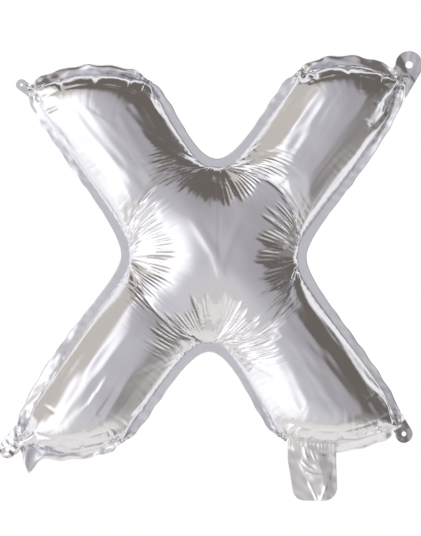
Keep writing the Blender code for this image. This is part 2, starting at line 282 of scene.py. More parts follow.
sheet_along = (1 - END_SHARE) * ARM_LENGTH * to_end + over_end
sheet_along = sheet_along / sheet_along[-1]
print(f"{STEPS_ACROSS} steps across an arm, {len(row) - 1} along it")

# %% [markdown]
# The welded line comes as straight stretches. A smooth curve through its points gives an arm's sides
# and end, and the step from the arm to the middle is a shallow arc. Blending the four edges fills the
# arm with points: the sides are blended across, the ends along, and what both count is taken off.


# %% Fill an arm between its four edges
def smooth_path(points, shares):
    """Points at given shares of the length of a smooth curve through the given points."""
    tangent = np.gradient(points, axis=0)
    tangent[0] = 2 * (points[1] - points[0]) - (points[2] - points[0]) / 2
    tangent[-1] = 2 * (points[-1] - points[-2]) - (points[-1] - points[-3]) / 2
    t = np.linspace(0, 1, 12, endpoint=False)[:, None]
    fine = []
    for i in range(len(points) - 1):
        piece = (2 * t**3 - 3 * t**2 + 1) * points[i] + (t**3 - 2 * t**2 + t) * tangent[i]
        fine.append(piece + (3 * t**2 - 2 * t**3) * points[i + 1] + (t**3 - t**2) * tangent[i + 1])
    fine = np.concatenate(fine + [points[-1:]])
    length = np.concatenate([[0], np.cumsum(np.linalg.norm(np.diff(fine, axis=0), axis=1))])
    return np.stack([np.interp(shares * length[-1], length, fine[:, k]) for k in range(2)], axis=1)


def stretch_of(line, first, last):
    """The points of a closed line from one index to another."""
    last = last if last > first else last + len(line)
    return line[np.arange(first, last + 1) % len(line)]


def bowed(start, end, bulge, shares):
    """A shallow arc between two points that bulges away from the middle of the letter."""
    run = end - start
    away = np.array([-run[1], run[0]]) / np.linalg.norm(run)
    away = away if away @ (start + end) > 0 else -away
    t = shares[..., None]
    return start + t * run + 4 * t * (1 - t) * bulge * away


def arm_patch(line, arm, across, along, bulges):
    """One arm as a grid of places, row by row, blended from its base, its two sides and its end."""
    first_notch, last_notch = notches[arm], notches[(arm + 1) % 4]
    first_corner, last_corner = corners[2 * arm], corners[2 * arm + 1]
    first = smooth_path(stretch_of(line, first_notch, first_corner), along)
    last = smooth_path(stretch_of(line, last_corner, last_notch)[::-1], along)
    end = smooth_path(stretch_of(line, first_corner, last_corner), across)
    base = bowed(line[first_notch], line[last_notch], bulges[arm], across)
    u, v = across[None, :, None], along[:, None, None]
    sides = (1 - u) * first[:, None] + u * last[:, None]
    ends = (1 - v) * base[None] + v * end[None]
    meet = (1 - v) * ((1 - u) * base[0] + u * base[-1]) + v * ((1 - u) * end[0] + u * end[-1])
    return sides + ends - meet


# %% [markdown]
# The middle is filled in the same way between the four arcs. Its heights and the arms' make the
# forms that the photograph shows: tubes that are round across, a ring-shaped crease where they meet
# the middle, and a broad dome inside it that sinks towards each notch.

# %% Fill the middle and raise both
near_side = np.cos(np.pi * sheet_across) ** 2


def middle_patch(line, across, bulges):
    """The middle between the four notches. Its steps follow the arms' at its edges and are even inside."""
    u = across[None, :] * near_side[:, None] + sheet_across[None, :] * (1 - near_side[:, None])
    w = across[:, None] * near_side[None, :] + sheet_across[:, None] * (1 - near_side[None, :])
    top, right, bottom, left = (line[i] for i in notches)
    upper_right = bowed(top, right, bulges[0], u)
    lower_right = bowed(right, bottom, bulges[1], w)
    lower_left = bowed(bottom, left, bulges[2], 1 - u)
    upper_left = bowed(left, top, bulges[3], 1 - w)
    u, w = u[..., None], w[..., None]
    edges = (1 - w) * upper_right + w * lower_left + (1 - u) * upper_left + u * lower_right
    meet = (1 - w) * ((1 - u) * top + u * right) + w * ((1 - u) * left + u * bottom)
    return edges - meet


def arm_height():
    """How far an arm stands out of the seam plane: round across, and rounded off over its end."""
    past_crease = np.sin(np.pi / 2 * np.clip(tube_along / CREASE_REACH, 0, 1))
    full = CREASE_DEPTH + (ARM_DEPTH - CREASE_DEPTH) * past_crease
    return (full * fall)[:, None] * np.sin(np.pi * sheet_across)[None, :]


def middle_height():
    """A flat-topped dome that the crease sets off from the arms and that falls away to the notches."""
    beside = near_side[:, None] * near_side[None, :]
    inside = (1 - near_side[:, None]) * (1 - near_side[None, :])
    rise = CREASE_DEPTH * np.sqrt(np.clip(1 - beside, 0, 1))
    dome = (CENTRE_DEPTH - CREASE_DEPTH) * np.clip(inside, 0, 1) ** DOME_ROUNDNESS
    return rise + dome - 16 * NOTCH_HOLLOW * beside * inside


# %% [markdown]
# The five patches share their edges, so points that lie in the same place become one. The outermost
# points, walked round in order, are the seam, and they are where the rear film meets the front.


# %% Join the patches
SAME_SPOT = 2e-6


def patch_quads(rows, columns, first):
    index = first + np.arange(rows * columns).reshape(rows, columns)
    quads = np.stack([index[:-1, :-1], index[:-1, 1:], index[1:, 1:], index[1:, :-1]], axis=-1)
    return quads.reshape(-1, 4)


def joined_patches():
    """Places drawn in and blown up, places in the flat sheet, heights and quads of one film."""
    tube, blown, sheet, height, quads = [], [], [], [], []
    for arm in range(4):
        quads.append(patch_quads(len(row), STEPS_ACROSS + 1, sum(map(len, tube))))
        tube.append(arm_patch(weld_line, arm, tube_across, tube_along, CUT_BULGES).reshape(-1, 2))
        blown.append(arm_patch(weld_line, arm, tube_across, tube_along, BLOWN_BULGES).reshape(-1, 2))
        sheet.append(arm_patch(cut_line, arm, sheet_across, sheet_along, CUT_BULGES).reshape(-1, 2))
        height.append(arm_height().reshape(-1))
    quads.append(patch_quads(STEPS_ACROSS + 1, STEPS_ACROSS + 1, sum(map(len, tube))))
    tube.append(middle_patch(weld_line, tube_across, CUT_BULGES).reshape(-1, 2))
    blown.append(middle_patch(weld_line, tube_across, BLOWN_BULGES).reshape(-1, 2))
    sheet.append(middle_patch(cut_line, sheet_across, CUT_BULGES).reshape(-1, 2))
    height.append(middle_height().reshape(-1))
    tube, blown, sheet, height, quads = map(np.concatenate, (tube, blown, sheet, height, quads))
    same = np.round(tube / SAME_SPOT).astype(int)
    _, kept, merged = np.unique(same, axis=0, return_index=True, return_inverse=True)
    quads = merged.reshape(-1)[quads]
    spot = tube[kept][quads]
    following = np.roll(spot, -1, axis=1)
    area = (spot[..., 0] * following[..., 1] - following[..., 0] * spot[..., 1]).sum(axis=1)
    quads[area < 0] = quads[area < 0][:, ::-1]
    return tube[kept], blown[kept], sheet[kept], height[kept], quads


def outer_walk(quads, place):
    """The film's outermost points in clockwise order."""
    sides = np.concatenate([quads[:, [i, (i + 1) % 4]] for i in range(4)])
    pairs, uses = np.unique(np.sort(sides, axis=1), axis=0, return_counts=True)
    links = {}
    for a, b in pairs[uses == 1].tolist():
        links.setdefault(a, []).append(b)
        links.setdefault(b, []).append(a)
    walk = np.array(walk_round(links, min(links)))
    return walk if (clockwise(place[walk]) == place[walk]).all() else walk[::-1]


tube_place, blown_place, sheet_place, film_height, front_quads = joined_patches()
seam = outer_walk(front_quads, tube_place)
print(f"{len(tube_place)} points and {len(front_quads)} quads in a film, {len(seam)} points on the seam")

# %% [markdown]
# ## Front film, rear film and rim as one mesh
#
# For the simulation the two films share their seam, and three rows of quads outside it are the flat
# rim, which holds the edge of the real balloon open like a stiff ribbon.

# %% Assemble the envelope
RIM_ROWS = 3
START_BUMPS = 0.0003

front_count = len(tube_place)
on_seam = np.zeros(front_count, bool)
on_seam[seam] = True
film_height[on_seam] = 0
rear_index = np.arange(front_count)
rear_index[~on_seam] = front_count + np.arange((~on_seam).sum())
rear_quads = rear_index[front_quads][:, ::-1]
film_count = front_count + int((~on_seam).sum())


def in_space(place, height):
    return np.stack([place[:, 0], height, place[:, 1]], axis=1)


inflated = [in_space(tube_place, -film_height), in_space(tube_place[~on_seam], film_height[~on_seam])]
flat = [in_space(sheet_place, 0 * film_height), in_space(sheet_place[~on_seam], 0 * film_height[~on_seam])]
rim_rings = [seam]
for ring in range(1, RIM_ROWS + 1):
    for places, line in ((inflated, tube_place[seam]), (flat, sheet_place[seam])):
        moved = line + outwards(line) * RIM_WIDTH * ring / RIM_ROWS
        places.append(in_space(moved, np.zeros(len(seam))))
    rim_rings.append(film_count + (ring - 1) * len(seam) + np.arange(len(seam)))
inflated, flat = np.concatenate(inflated), np.concatenate(flat)
rim_quads = []
for inner, outer in zip(rim_rings, rim_rings[1:]):
    rim_quads.append(np.stack([inner, np.roll(inner, -1), np.roll(outer, -1), outer], axis=1))
rim_quads = np.concatenate(rim_quads)
bumps = np.random.default_rng(4).normal(0, START_BUMPS, len(inflated))
inflated[:, 1] += bumps
print(f"{len(inflated)} points in the envelope with its rim")

# %% [markdown]
# ## Blow it up
#
# The film starts as cut, so that its real lengths are known to the solver, and flat but for a trace
# of fullness, which keeps the two films apart. A shape key draws the seam in to the welded line while
# pressure swells them, and the springs that stand for the film hardly stretch, so the spare edge
# buckles into folds, as it does on the real balloon. The seam is held only softly, so that it can
# ripple. Very light film under a high pressure settles in some thirty steps. Tiny bumps give the
# folds somewhere to start, and they come from a fixed seed, so the folds are the same each run.

# %% Lay out the film as cut
FRAMES = 32
DRAWN_IN_BY = 15
START_FULLNESS = 0.03
SEAM_HOLD = 0.7


def envelope_object():
    start = flat.copy()
    start[:, 1] = inflated[:, 1] * START_FULLNESS
    target = start.copy()
    for ring in rim_rings:
        target[ring] = inflated[ring]
    mesh = bpy.data.meshes.new("envelope")
    mesh.from_pydata(start.tolist(), [], np.concatenate([front_quads, rear_quads, rim_quads]).tolist())
    envelope = bpy.data.objects.new("envelope", mesh)
    bpy.context.scene.collection.objects.link(envelope)
    envelope.shape_key_add(name="as_cut", from_mix=False)
    drawn_in = envelope.shape_key_add(name="drawn_in", from_mix=False)
    drawn_in.data.foreach_set("co", target.astype(np.float32).ravel())
    drawn_in.value = 0
    drawn_in.keyframe_insert("value", frame=1)
    drawn_in.value = 1
    drawn_in.keyframe_insert("value", frame=DRAWN_IN_BY)
    film = envelope.vertex_groups.new(name="film")
    film.add(list(range(film_count)), 1.0, "REPLACE")
    held = envelope.vertex_groups.new(name="held_seam")
    held.add([int(i) for i in seam], SEAM_HOLD, "REPLACE")
    return envelope


# %% [markdown]
# Cloth settings are forces on springs, not a fabric's name. Film hardly stretches, so its tension
# springs are stiff for its tiny mass, and it bends so easily that its bending springs are nearly
# nothing. Gravity and collisions are off, because a tight balloon needs neither.


# %% Give the cloth the film's behaviour
def set_film_stiffness(cloth):
    settings = cloth.settings
    settings.quality = 6
    settings.mass = 0.001
    settings.air_damping = 2
    settings.bending_model = "ANGULAR"
    settings.tension_stiffness = 80
    settings.compression_stiffness = 80
    settings.shear_stiffness = 40
    settings.bending_stiffness = 0.02
    settings.tension_damping = 0.5
    settings.compression_damping = 0.5
    settings.shear_damping = 0.5
    settings.bending_damping = 0.5
    settings.use_pressure = True
    settings.uniform_pressure_force = 100
    settings.vertex_group_pressure = "film"
    settings.vertex_group_mass = "held_seam"
    settings.pin_stiffness = 0.2
    settings.effector_weights.gravity = 0
    cloth.collision_settings.use_collision = False
    cloth.collision_settings.use_self_collision = False
    cloth.point_cache.frame_start = 1
    cloth.point_cache.frame_end = FRAMES


# %% [markdown]
# The simulation moves on one frame at a time. Its last frame is read once into plain numbers, and the
# helper object goes, so that nothing is left in the scene that could move again.


# %% Simulate the inflation
def blown_up():
    """The places of all points after the inflation."""
    envelope = envelope_object()
    set_film_stiffness(envelope.modifiers.new("inflation", "CLOTH"))
    scene = bpy.context.scene
    scene.frame_start, scene.frame_end = 1, FRAMES
    for step in range(1, FRAMES + 1):
        scene.frame_set(step)
    result = envelope.evaluated_get(bpy.context.evaluated_depsgraph_get())
    places = np.zeros(len(result.data.vertices) * 3, np.float32)
    result.data.vertices.foreach_get("co", places)
    mesh = envelope.data
    bpy.data.objects.remove(envelope)
    bpy.data.meshes.remove(mesh)
    scene.frame_set(1)
    return places.reshape(-1, 3).astype(float)


settled = blown_up()
shift = np.linalg.norm(settled[seam] - inflated[seam], axis=1)
print(f"the seam moved {1000 * shift.mean():.1f} mm on average, {1000 * shift.max():.1f} mm at most")

# %% [markdown]
# ## Set it back on the model
#
# The corners of the arms have crept inwards while the film swelled, and the film is still breathing
# in and out a little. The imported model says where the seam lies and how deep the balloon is. Each
# point's way back to it is split in two: the slow part, evened out over some 20 mm, is undone, and
# the quick part, which is the folds and ripples, stays. Far from the seam only three tenths of it
# stay, because on the real balloon the pressure has pulled the film nearly smooth there.

# %% Fit the film to the model
RIPPLE_LENGTH = 0.006
EVENING_ROUNDS = 60
CALM_SHARE = 0.30
CALM_FROM = 0.024


def smoothed_round(values, spacing, reach):
    """Values on a closed line, evened out over a reach."""
    place = np.concatenate([[0], np.cumsum(spacing)[:-1]])
    away = np.abs(place[:, None] - place[None, :])
    away = np.minimum(away, spacing.sum() - away)
    weight = np.exp(-((away / reach) ** 2)) * spacing[None, :]
    return weight @ values / weight.sum(axis=1)[:, None]


def evened_out(values, fixed, quads, rounds):
    """Values evened out between neighbouring points, again and again, but for the fixed points."""
    sides = np.concatenate([quads[:, [i, (i + 1) % 4]] for i in range(4)])
    sides = np.unique(np.sort(sides, axis=1), axis=0)
    uses = np.bincount(sides.ravel(), minlength=len(values))[:, None]
    for count in range(rounds):
        total = np.zeros_like(values)
        for k in range(3):
            total[:, k] += np.bincount(sides[:, 0], values[sides[:, 1], k], len(values))
            total[:, k] += np.bincount(sides[:, 1], values[sides[:, 0], k], len(values))
        evened = (values + total / uses) / 2
        evened[fixed] = values[fixed]
        values = evened
    return values


home = [in_space(blown_place, -film_height), in_space(blown_place[~on_seam], film_height[~on_seam])]
home = np.concatenate(home)
seam_spacing = np.linalg.norm(np.roll(home[seam], -1, axis=0) - home[seam], axis=1)
way_back = home - settled[:film_count]
way_back[seam] = smoothed_round(way_back[seam], seam_spacing, RIPPLE_LENGTH)
seam_back = way_back[seam]
way_back = evened_out(way_back, seam, np.concatenate([front_quads, rear_quads]), EVENING_ROUNDS)
fitted = settled.copy()
fitted[:film_count] += way_back
to_seam = flat[:film_count, None, ::2] - flat[None, seam, ::2]
to_seam = np.linalg.norm(to_seam, axis=2).min(axis=1)
kept_folds = CALM_SHARE + (1 - CALM_SHARE) * np.exp(-((to_seam / CALM_FROM) ** 2))
fitted[:film_count] = home + kept_folds[:, None] * (fitted[:film_count] - home)
for ring in rim_rings[1:]:
    fitted[ring] += seam_back
off = np.linalg.norm(fitted[:film_count] - home, axis=1)
near, far = 1000 * np.percentile(off, 95), 1000 * off.max()
print(f"the film stays within {near:.1f} mm of the model, {far:.1f} mm at most")

# %% [markdown]
# ## Where a point is, as seen from the seam
#
# Pleats start at the seam and run square to it into the film. To draw them, every point of the film
# needs two numbers, read in the flat sheet: how far it is from the seam, and how far round the seam
# it is. At a notch the pleats fan out from a tight bend, so the second number also counts the turn.

# %% Distance from the seam and place along it
POINTS_AT_ONCE = 4000
AT_SEAM = 1e-5
FURTHEST_LEAN = 0.3

seam_line = sheet_place[seam]
seam_reach, seam_whole = travelled(seam_line)
seam_turn = np.cumsum(np.maximum(0, turning(seam_line)))


def from_seam(points):
    """Distance from the seam, distance round it and turn round the notches, for places in the sheet."""
    start = seam_line
    run = np.roll(seam_line, -1, axis=0) - start
    size = np.linalg.norm(run, axis=1)
    inwards = np.stack([run[:, 1], -run[:, 0]], axis=1) / size[:, None]
    results = []
    for first in range(0, len(points), POINTS_AT_ONCE):
        some = points[first : first + POINTS_AT_ONCE]
        gap = some[:, None] - start[None]
        share = np.clip((gap * run).sum(axis=-1) / size**2, 0, 1)
        gap = gap - share[..., None] * run
        away = np.linalg.norm(gap, axis=-1)
        near = np.argmin(away, axis=1)
        pick = np.arange(len(some))
        gap, n = gap[pick, near], inwards[near]
        lean = np.arctan2(n[:, 0] * gap[:, 1] - n[:, 1] * gap[:, 0], (n * gap).sum(axis=1))
        lean = np.where(away[pick, near] > AT_SEAM, np.clip(lean, -FURTHEST_LEAN, FURTHEST_LEAN), 0)
        round_it = seam_reach[near] + share[pick, near] * size[near]
        results.append(np.stack([away[pick, near], round_it, seam_turn[near] + lean], axis=1))
    return np.concatenate(results).T


# %% [markdown]
# The pleats differ by region: they fan out from the notches, crowd over the arms' ends and are short
# along the arms' sides. Two helpers say how far a point belongs to a notch or an end, from 0 to 1.


# %% Tell the regions of the seam apart
def seam_marks(indices):
    """Distances round the sheet's seam of points of the welded line."""
    marks = []
    for index in indices:
        gap = np.linalg.norm(tube_place[seam] - weld_line[index], axis=1)
        marks.append(seam_reach[int(np.argmin(gap))])
    return marks


notch_marks = seam_marks(notches)
corner_marks = seam_marks(corners)


def notch_share(round_it, reach):
    share = np.zeros(len(round_it))
    for mark in notch_marks:
        away = np.abs(round_it - mark)
        away = np.minimum(away, seam_whole - away)
        share = np.maximum(share, np.exp(-((away / reach) ** 4)))
    return share


def end_share(round_it, blend):
    share = np.zeros(len(round_it))
    for first, last in zip(corner_marks[::2], corner_marks[1::2]):
        past = (round_it - first + seam_whole / 4) % seam_whole - seam_whole / 4
        rise = np.clip(past / blend + 0.5, 0, 1)
        drop = np.clip(((last - first) % seam_whole - past) / blend + 0.5, 0, 1)
        share = np.maximum(share, rise * drop)
    return share


# %% [markdown]
# Each pleat is a low puff between two sharp valleys, with a length and a height of its own. At a notch
# a few long ones start at the seam, and many fine ones join them further out. They end in a jagged
# line, because the film rises to the dome between them like fingertips. Along the arms run long, low
# folds, which the seam's gathers leave in tight film.


# %% Shapes of a pleat
class Pleats(NamedTuple):
    """A region's pleats: their spacing, shortest and longest, height, seed, and the run to full height."""

    pitch: float
    lengths: tuple
    height: float
    seed: int
    lead: float


FAN_PLEATS = Pleats(0.0052, (0.018, 0.052), 0.00072, 11, 0.0030)
FINE_PLEATS = Pleats(0.0031, (0.046, 0.064), 0.00024, 15, 0.0200)
END_PLEATS = Pleats(0.0033, (0.026, 0.048), 0.00050, 21, 0.0015)
END_PUFFS = Pleats(0.0110, (0.020, 0.046), 0.00060, 31, 0.0015)
SIDE_PLEATS = Pleats(0.0062, (0.006, 0.028), 0.00045, 41, 0.0015)
VALLEY = 0.6
SMALLEST = 0.55
TIP_LENGTHS = (0.048, 0.061)
TIP_SLOPE = 0.17
TIP_ROUNDING = 0.16
TIP_RISE = 0.016
TIP_LEAD = 0.02
TIP_SEED = 17


def ruffle(round_it, waves, seed):
    """Uneven waves along the seam, about 1 high at most."""
    chance = np.random.default_rng(seed)
    total = np.zeros(len(round_it))
    for wave in waves:
        turns = max(1, round(seam_whole / wave))
        total += np.sin(2 * np.pi * turns * round_it / seam_whole + chance.uniform(0, 2 * np.pi))
    return total / len(waves)


def numbered(phase):
    """The number of the pleat that each phase lies in, from 0."""
    number = np.floor(phase).astype(int)
    return number - number.min()


def pleats(away, place, kind, side=0):
    """Puffs side by side, unevenly spaced. The place is measured across them, away is along them."""
    phase = place / kind.pitch
    phase = phase + 0.18 * np.sin(2.3 * phase) + 0.12 * np.sin(0.71 * phase)
    number = numbered(phase)
    chance = np.random.default_rng(kind.seed + side)
    length = chance.uniform(*kind.lengths, number.max() + 2)
    size = chance.uniform(SMALLEST, 1, number.max() + 2)
    share = phase % 1
    length = length[number] * (1 - share) + length[number + 1] * share
    puff = np.abs(np.sin(np.pi * share)) - VALLEY
    started = 1 - np.exp(-((away / kind.lead) ** 2))
    return kind.height * size[number] * puff * np.exp(-((away / length) ** 2)) * started


def fingertips(away, place, side):
    """A dip between the seam and a jagged line, where puffs of unequal length end."""
    phase = place / FINE_PLEATS.pitch
    number = numbered(phase)
    length = np.random.default_rng(TIP_SEED + side).uniform(*TIP_LENGTHS, number.max() + 1)[number]
    tip = length * (1 - TIP_ROUNDING * np.abs(2 * (phase % 1) - 1) ** 1.5)
    return -TIP_SLOPE * np.clip(tip - away, 0, TIP_RISE) * (1 - np.exp(-((away / TIP_LEAD) ** 2)))


# %% [markdown]
# The regions and the shapes are put together here. Where the seam turns round a notch, the turn is
# added to the place along it, times a radius: the fan then has more pleats than its tight bend has
# room for at the seam, which is why the fine ones start further out.

# %% Draw the pleats
NOTCH_REGION = 0.042
TIP_REGION = 0.030
END_BLEND = 0.012
FEW_RADIUS = 0.014
MANY_RADIUS = 0.032
LONG_FOLDS = ((0.0085, 0.00010, 3), (0.0122, 0.00017, 7), (0.0187, 0.00024, 9))
LONG_FOLDS_FROM = 0.008
LONG_FOLDS_BLEND = 0.02
DRIFT_WAVES = (0.090, 0.151, 0.233)
SWELL_WAVES = (0.070, 0.113)


def long_folds(away, round_it, side):
    """Low folds beside the seam, each of a width and a height, that drift and swell on their way."""
    relief = np.zeros(len(away))
    for wave, height, seed in LONG_FOLDS:
        drift = ruffle(round_it, DRIFT_WAVES, seed + side)
        swell = 0.55 + 0.45 * ruffle(round_it, SWELL_WAVES, seed + 20 + side)
        relief += height * swell * np.sin(2 * np.pi * away / wave + 3.0 * drift)
    return relief


def pleat_relief(points, side):
    """How far the pleats lift each point of the film, for places in the flat sheet."""
    away, round_it, turn = from_seam(points)
    at_notch = notch_share(round_it, NOTCH_REGION)
    at_end = end_share(round_it, END_BLEND)
    along_side = np.clip(1 - at_notch - at_end, 0, 1)
    few, many = round_it + FEW_RADIUS * turn, round_it + MANY_RADIUS * turn
    relief = at_notch * pleats(away, few, FAN_PLEATS, side)
    relief += at_notch * pleats(away, many, FINE_PLEATS, side)
    relief += notch_share(round_it, TIP_REGION) * fingertips(away, many, side)
    relief += at_end * pleats(away, round_it, END_PLEATS, side)
    relief += at_end * pleats(away, round_it, END_PUFFS, side)
    relief += along_side * pleats(away, round_it, SIDE_PLEATS, side)
    beside = along_side * np.clip((away - LONG_FOLDS_FROM) / LONG_FOLDS_BLEND, 0, 1)
    return relief + beside * long_folds(away, round_it, side)


# %% [markdown]
# Besides the pleats, the film has soft folds that run along the arms and over the middle, left from
# how it lay folded in its packet. They are drawn as lines on the letter, each with a height and a
# width. The lines of the front are put where the photograph shows them. At the back they are put
# where such folds fall, because no photograph shows it.


# %% Where the folds lie
def at_pixels(*places):
    return [np.array(at_pixel(*place)) for place in places]


FRONT_FOLDS = [
    (at_pixels((64, 108), (104, 152), (146, 196)), 0.00035, 0.0040),
    (at_pixels((84, 100), (122, 144), (158, 180)), -0.00030, 0.0035),
    (at_pixels((112, 96), (136, 126), (160, 156)), 0.00030, 0.0035),
    (at_pixels((340, 88), (326, 108), (312, 130)), -0.00045, 0.0022),
    (at_pixels((366, 92), (330, 146), (304, 190)), 0.00035, 0.0040),
    (at_pixels((322, 96), (298, 140), (282, 168)), -0.00030, 0.0035),
    (at_pixels((120, 385), (104, 408), (83, 435)), -0.00050, 0.0026),
    (at_pixels((156, 330), (116, 376), (74, 422)), 0.00040, 0.0040),
    (at_pixels((134, 340), (96, 386), (60, 428)), -0.00030, 0.0040),
    (at_pixels((296, 326), (330, 372), (366, 414)), 0.00040, 0.0040),
    (at_pixels((284, 344), (312, 384), (340, 424)), -0.00035, 0.0035),
    (at_pixels((190, 215), (215, 255), (226, 296)), 0.00090, 0.0042),
    (at_pixels((243, 216), (228, 246), (219, 280)), 0.00060, 0.0040),
    (at_pixels((219, 200), (219, 240), (219, 272)), -0.00024, 0.0012),
    (at_pixels((133, 243), (156, 235), (178, 227)), -0.00070, 0.0014),
    (at_pixels((133, 254), (160, 255), (190, 256)), -0.00070, 0.0014),
    (at_pixels((212, 168), (212, 188), (210, 208)), -0.00060, 0.0014),
    (at_pixels((222, 168), (226, 188), (232, 206)), -0.00060, 0.0014),
    (at_pixels((214, 344), (213, 322), (208, 296)), -0.00060, 0.0014),
    (at_pixels((294, 240), (282, 248), (264, 252)), -0.00060, 0.0014),
    (at_pixels((386, 110), (372, 103)), -0.00110, 0.0014),
    (at_pixels((377, 128), (361, 121)), -0.00110, 0.0014),
    (at_pixels((44, 404), (58, 412)), -0.00110, 0.0014),
    (at_pixels((30, 428), (44, 436)), -0.00110, 0.0014),
    (at_pixels((44, 114), (61, 108)), -0.00120, 0.0014),
    (at_pixels((378, 392), (363, 400)), -0.00100, 0.0014),
]
REAR_FOLDS = [
    (at_pixels((70, 100), (112, 148), (160, 186)), -0.0005, 0.0035),
    (at_pixels((350, 92), (314, 140), (286, 180)), 0.0005, 0.0035),
    (at_pixels((136, 350), (104, 386), (76, 424)), 0.0005, 0.0035),
    (at_pixels((292, 340), (326, 384), (350, 428)), -0.0005, 0.0035),
    (at_pixels((238, 210), (214, 250), (200, 292)), 0.0005, 0.0045),
    (at_pixels((384, 116), (368, 108)), -0.0011, 0.0014),
    (at_pixels((38, 414), (54, 422)), -0.0011, 0.0014),
]


# %% [markdown]
# A fold is highest on its line and fades to both sides like a hill, and along the line it fades
# towards its ends. A negative height makes a crease instead of a ridge.


# %% Turn lines into folds
def fold_relief(points, folds):
    """Lines of low folds. The points and the folds are places (x, z) on the letter."""
    relief = np.zeros(len(points))
    for line, height, width in folds:
        nearest = np.full(len(points), 1.0)
        fade = np.zeros(len(points))
        span = len(line) - 1
        for i, (a, b) in enumerate(zip(line, line[1:])):
            share = np.clip(((points - a) @ (b - a)) / ((b - a) @ (b - a)), 0, 1)
            away = np.linalg.norm(points - a - share[:, None] * (b - a), axis=1)
            closer = away < nearest
            nearest = np.where(closer, away, nearest)
            fade = np.where(closer, np.sin(np.pi * (i + share) / span) ** 0.7, fade)
        relief += height * fade * np.exp(-((nearest / width) ** 2))
    return relief


# %% [markdown]
# Over an arm's end the gathered film swells into pouches with a sharp pinch between each two. The
# middle is set off from the arms by a crease along each arc between two notches. Both follow the
# welded line, so they are worked out from it.

# %% Pouches over the ends, and the ring-shaped crease
PINCH = (-0.0012, 0.0013)
PINCH_RUN = (0.05, 0.5, 1.15)
POUCH = (0.0015, 0.0040)
POUCH_AT = 0.45
POUCH_EDGE = (-0.0006, 0.0011)
POUCH_EDGE_AT = 1.1
RING_CREASE = (-0.0010, 0.0013)


def end_line(arm, inset, shares):
    """Places along an arm's end, some way inside its seam."""
    path = smooth_path(stretch_of(weld_line, corners[2 * arm], corners[2 * arm + 1]), np.asarray(shares))
    run = np.gradient(smooth_path(path, np.linspace(0, 1, len(shares))), axis=0)
    inwards = np.stack([run[:, 1], -run[:, 0]], axis=1) / np.linalg.norm(run, axis=1)[:, None]
    return list(path + inset * inwards)


def pouches(arm, pinches, inset):
    """Over an arm's end: pinches across the seam, and between each two a pouch with its inner edge."""
    folds = []
    for share in pinches:
        beside = (share - 0.01, share, share + 0.01)
        line = [end_line(arm, far * inset, beside)[1] for far in PINCH_RUN]
        folds.append((line, *PINCH))
    for first, last in zip((0.02, *pinches), (*pinches, 0.98)):
        shares = np.linspace(first, last, 7)
        folds.append((end_line(arm, POUCH_AT * inset, shares), *POUCH))
        folds.append((end_line(arm, POUCH_EDGE_AT * inset, shares), *POUCH_EDGE))
    return folds


def ring_crease():
    """The crease between the arms and the middle, one arc from each notch to the next."""
    folds = []
    for arm in range(4):
        start, end = weld_line[notches[arm]], weld_line[notches[(arm + 1) % 4]]
        arc = bowed(start, end, BLOWN_BULGES[arm], np.linspace(0.05, 0.95, 15))
        folds.append((list(arc), *RING_CREASE))
    return folds


FRONT_FOLDS += ring_crease()
REAR_FOLDS += ring_crease()
POUCH_INSETS = (0.0105, 0.0110, 0.0110, 0.0105)
FRONT_PINCHES = ((0.12, 0.46, 0.84), (0.14, 0.50, 0.74, 0.90), (0.07, 0.38, 0.60, 0.86), (0.24, 0.56, 0.86))
REAR_PINCHES = ((0.20, 0.52, 0.80), (0.22, 0.46, 0.82), (0.16, 0.44, 0.70), (0.30, 0.50, 0.78))
for arm, inset in enumerate(POUCH_INSETS):
    FRONT_FOLDS += pouches(arm, FRONT_PINCHES[arm], inset)
    REAR_FOLDS += pouches(arm, REAR_PINCHES[arm], inset)
print(f"{len(FRONT_FOLDS)} folds on the front film, {len(REAR_FOLDS)} on the rear film")

# %% [markdown]
# A very low, slow unevenness over the whole film keeps the reflections from looking machine-made.
# Fourteen gentle waves in all directions add up to it, so that no direction stands out.


# %% A slow unevenness
SLOW_WAVES = 14


def slow_relief(points, wave, height, seed):
    """An even mix of gentle waves in all directions."""
    chance = np.random.default_rng(seed)
    total = np.zeros(len(points))
    for count in range(SLOW_WAVES):
        angle, phase = chance.uniform(0, 2 * np.pi, 2)
        size = wave * chance.uniform(0.7, 1.5)
        way = np.array([np.cos(angle), np.sin(angle)])
        total += np.sin(2 * np.pi * points @ way / size + phase)
    return height * total / math.sqrt(SLOW_WAVES / 2)


# %% [markdown]
# ## The two inflated films
#
# Each film is its own piece, as on the real balloon. It is smoothed by two subdivisions, its pleats
# and folds are pressed in along its normals, and Solidify gives it a wall, so that it is closed. The
# real film is 0.04 mm thick. The wall is 0.15 mm, which no view can tell from it.

# %% Helpers for film pieces
FILM_WALL = 0.00015


def apply_all(piece):
    """Applies a piece's modifiers in order, as the Apply button does."""
    bpy.ops.object.select_all(action="DESELECT")
    piece.select_set(True)
    bpy.context.view_layer.objects.active = piece
    for modifier in list(piece.modifiers):
        bpy.ops.object.modifier_apply(modifier=modifier.name)


def smooth_film(piece, rounds):
    """Subdivides a piece so often, and keeps the result."""
    smooth = piece.modifiers.new("smooth film", "SUBSURF")
    smooth.levels = smooth.render_levels = rounds
    apply_all(piece)


def film_piece(name, places, quads, sheet, rounds):
    """A smooth piece of film from quads, with its flat sheet as its UV map, in metres."""
    used, index = np.unique(quads, return_inverse=True)
    mesh = bpy.data.meshes.new(name)
    mesh.from_pydata(places[used].tolist(), [], index.reshape(quads.shape).tolist())
    layer = mesh.uv_layers.new(name="flat_sheet")
    corner = np.zeros(len(mesh.loops), np.int32)
    mesh.loops.foreach_get("vertex_index", corner)
    layer.data.foreach_set("uv", sheet[used][corner].astype(np.float32).ravel())
    mesh.shade_smooth()
    piece = bpy.data.objects.new(name, mesh)
    bpy.context.scene.collection.objects.link(piece)
    smooth_film(piece, rounds)
    return piece


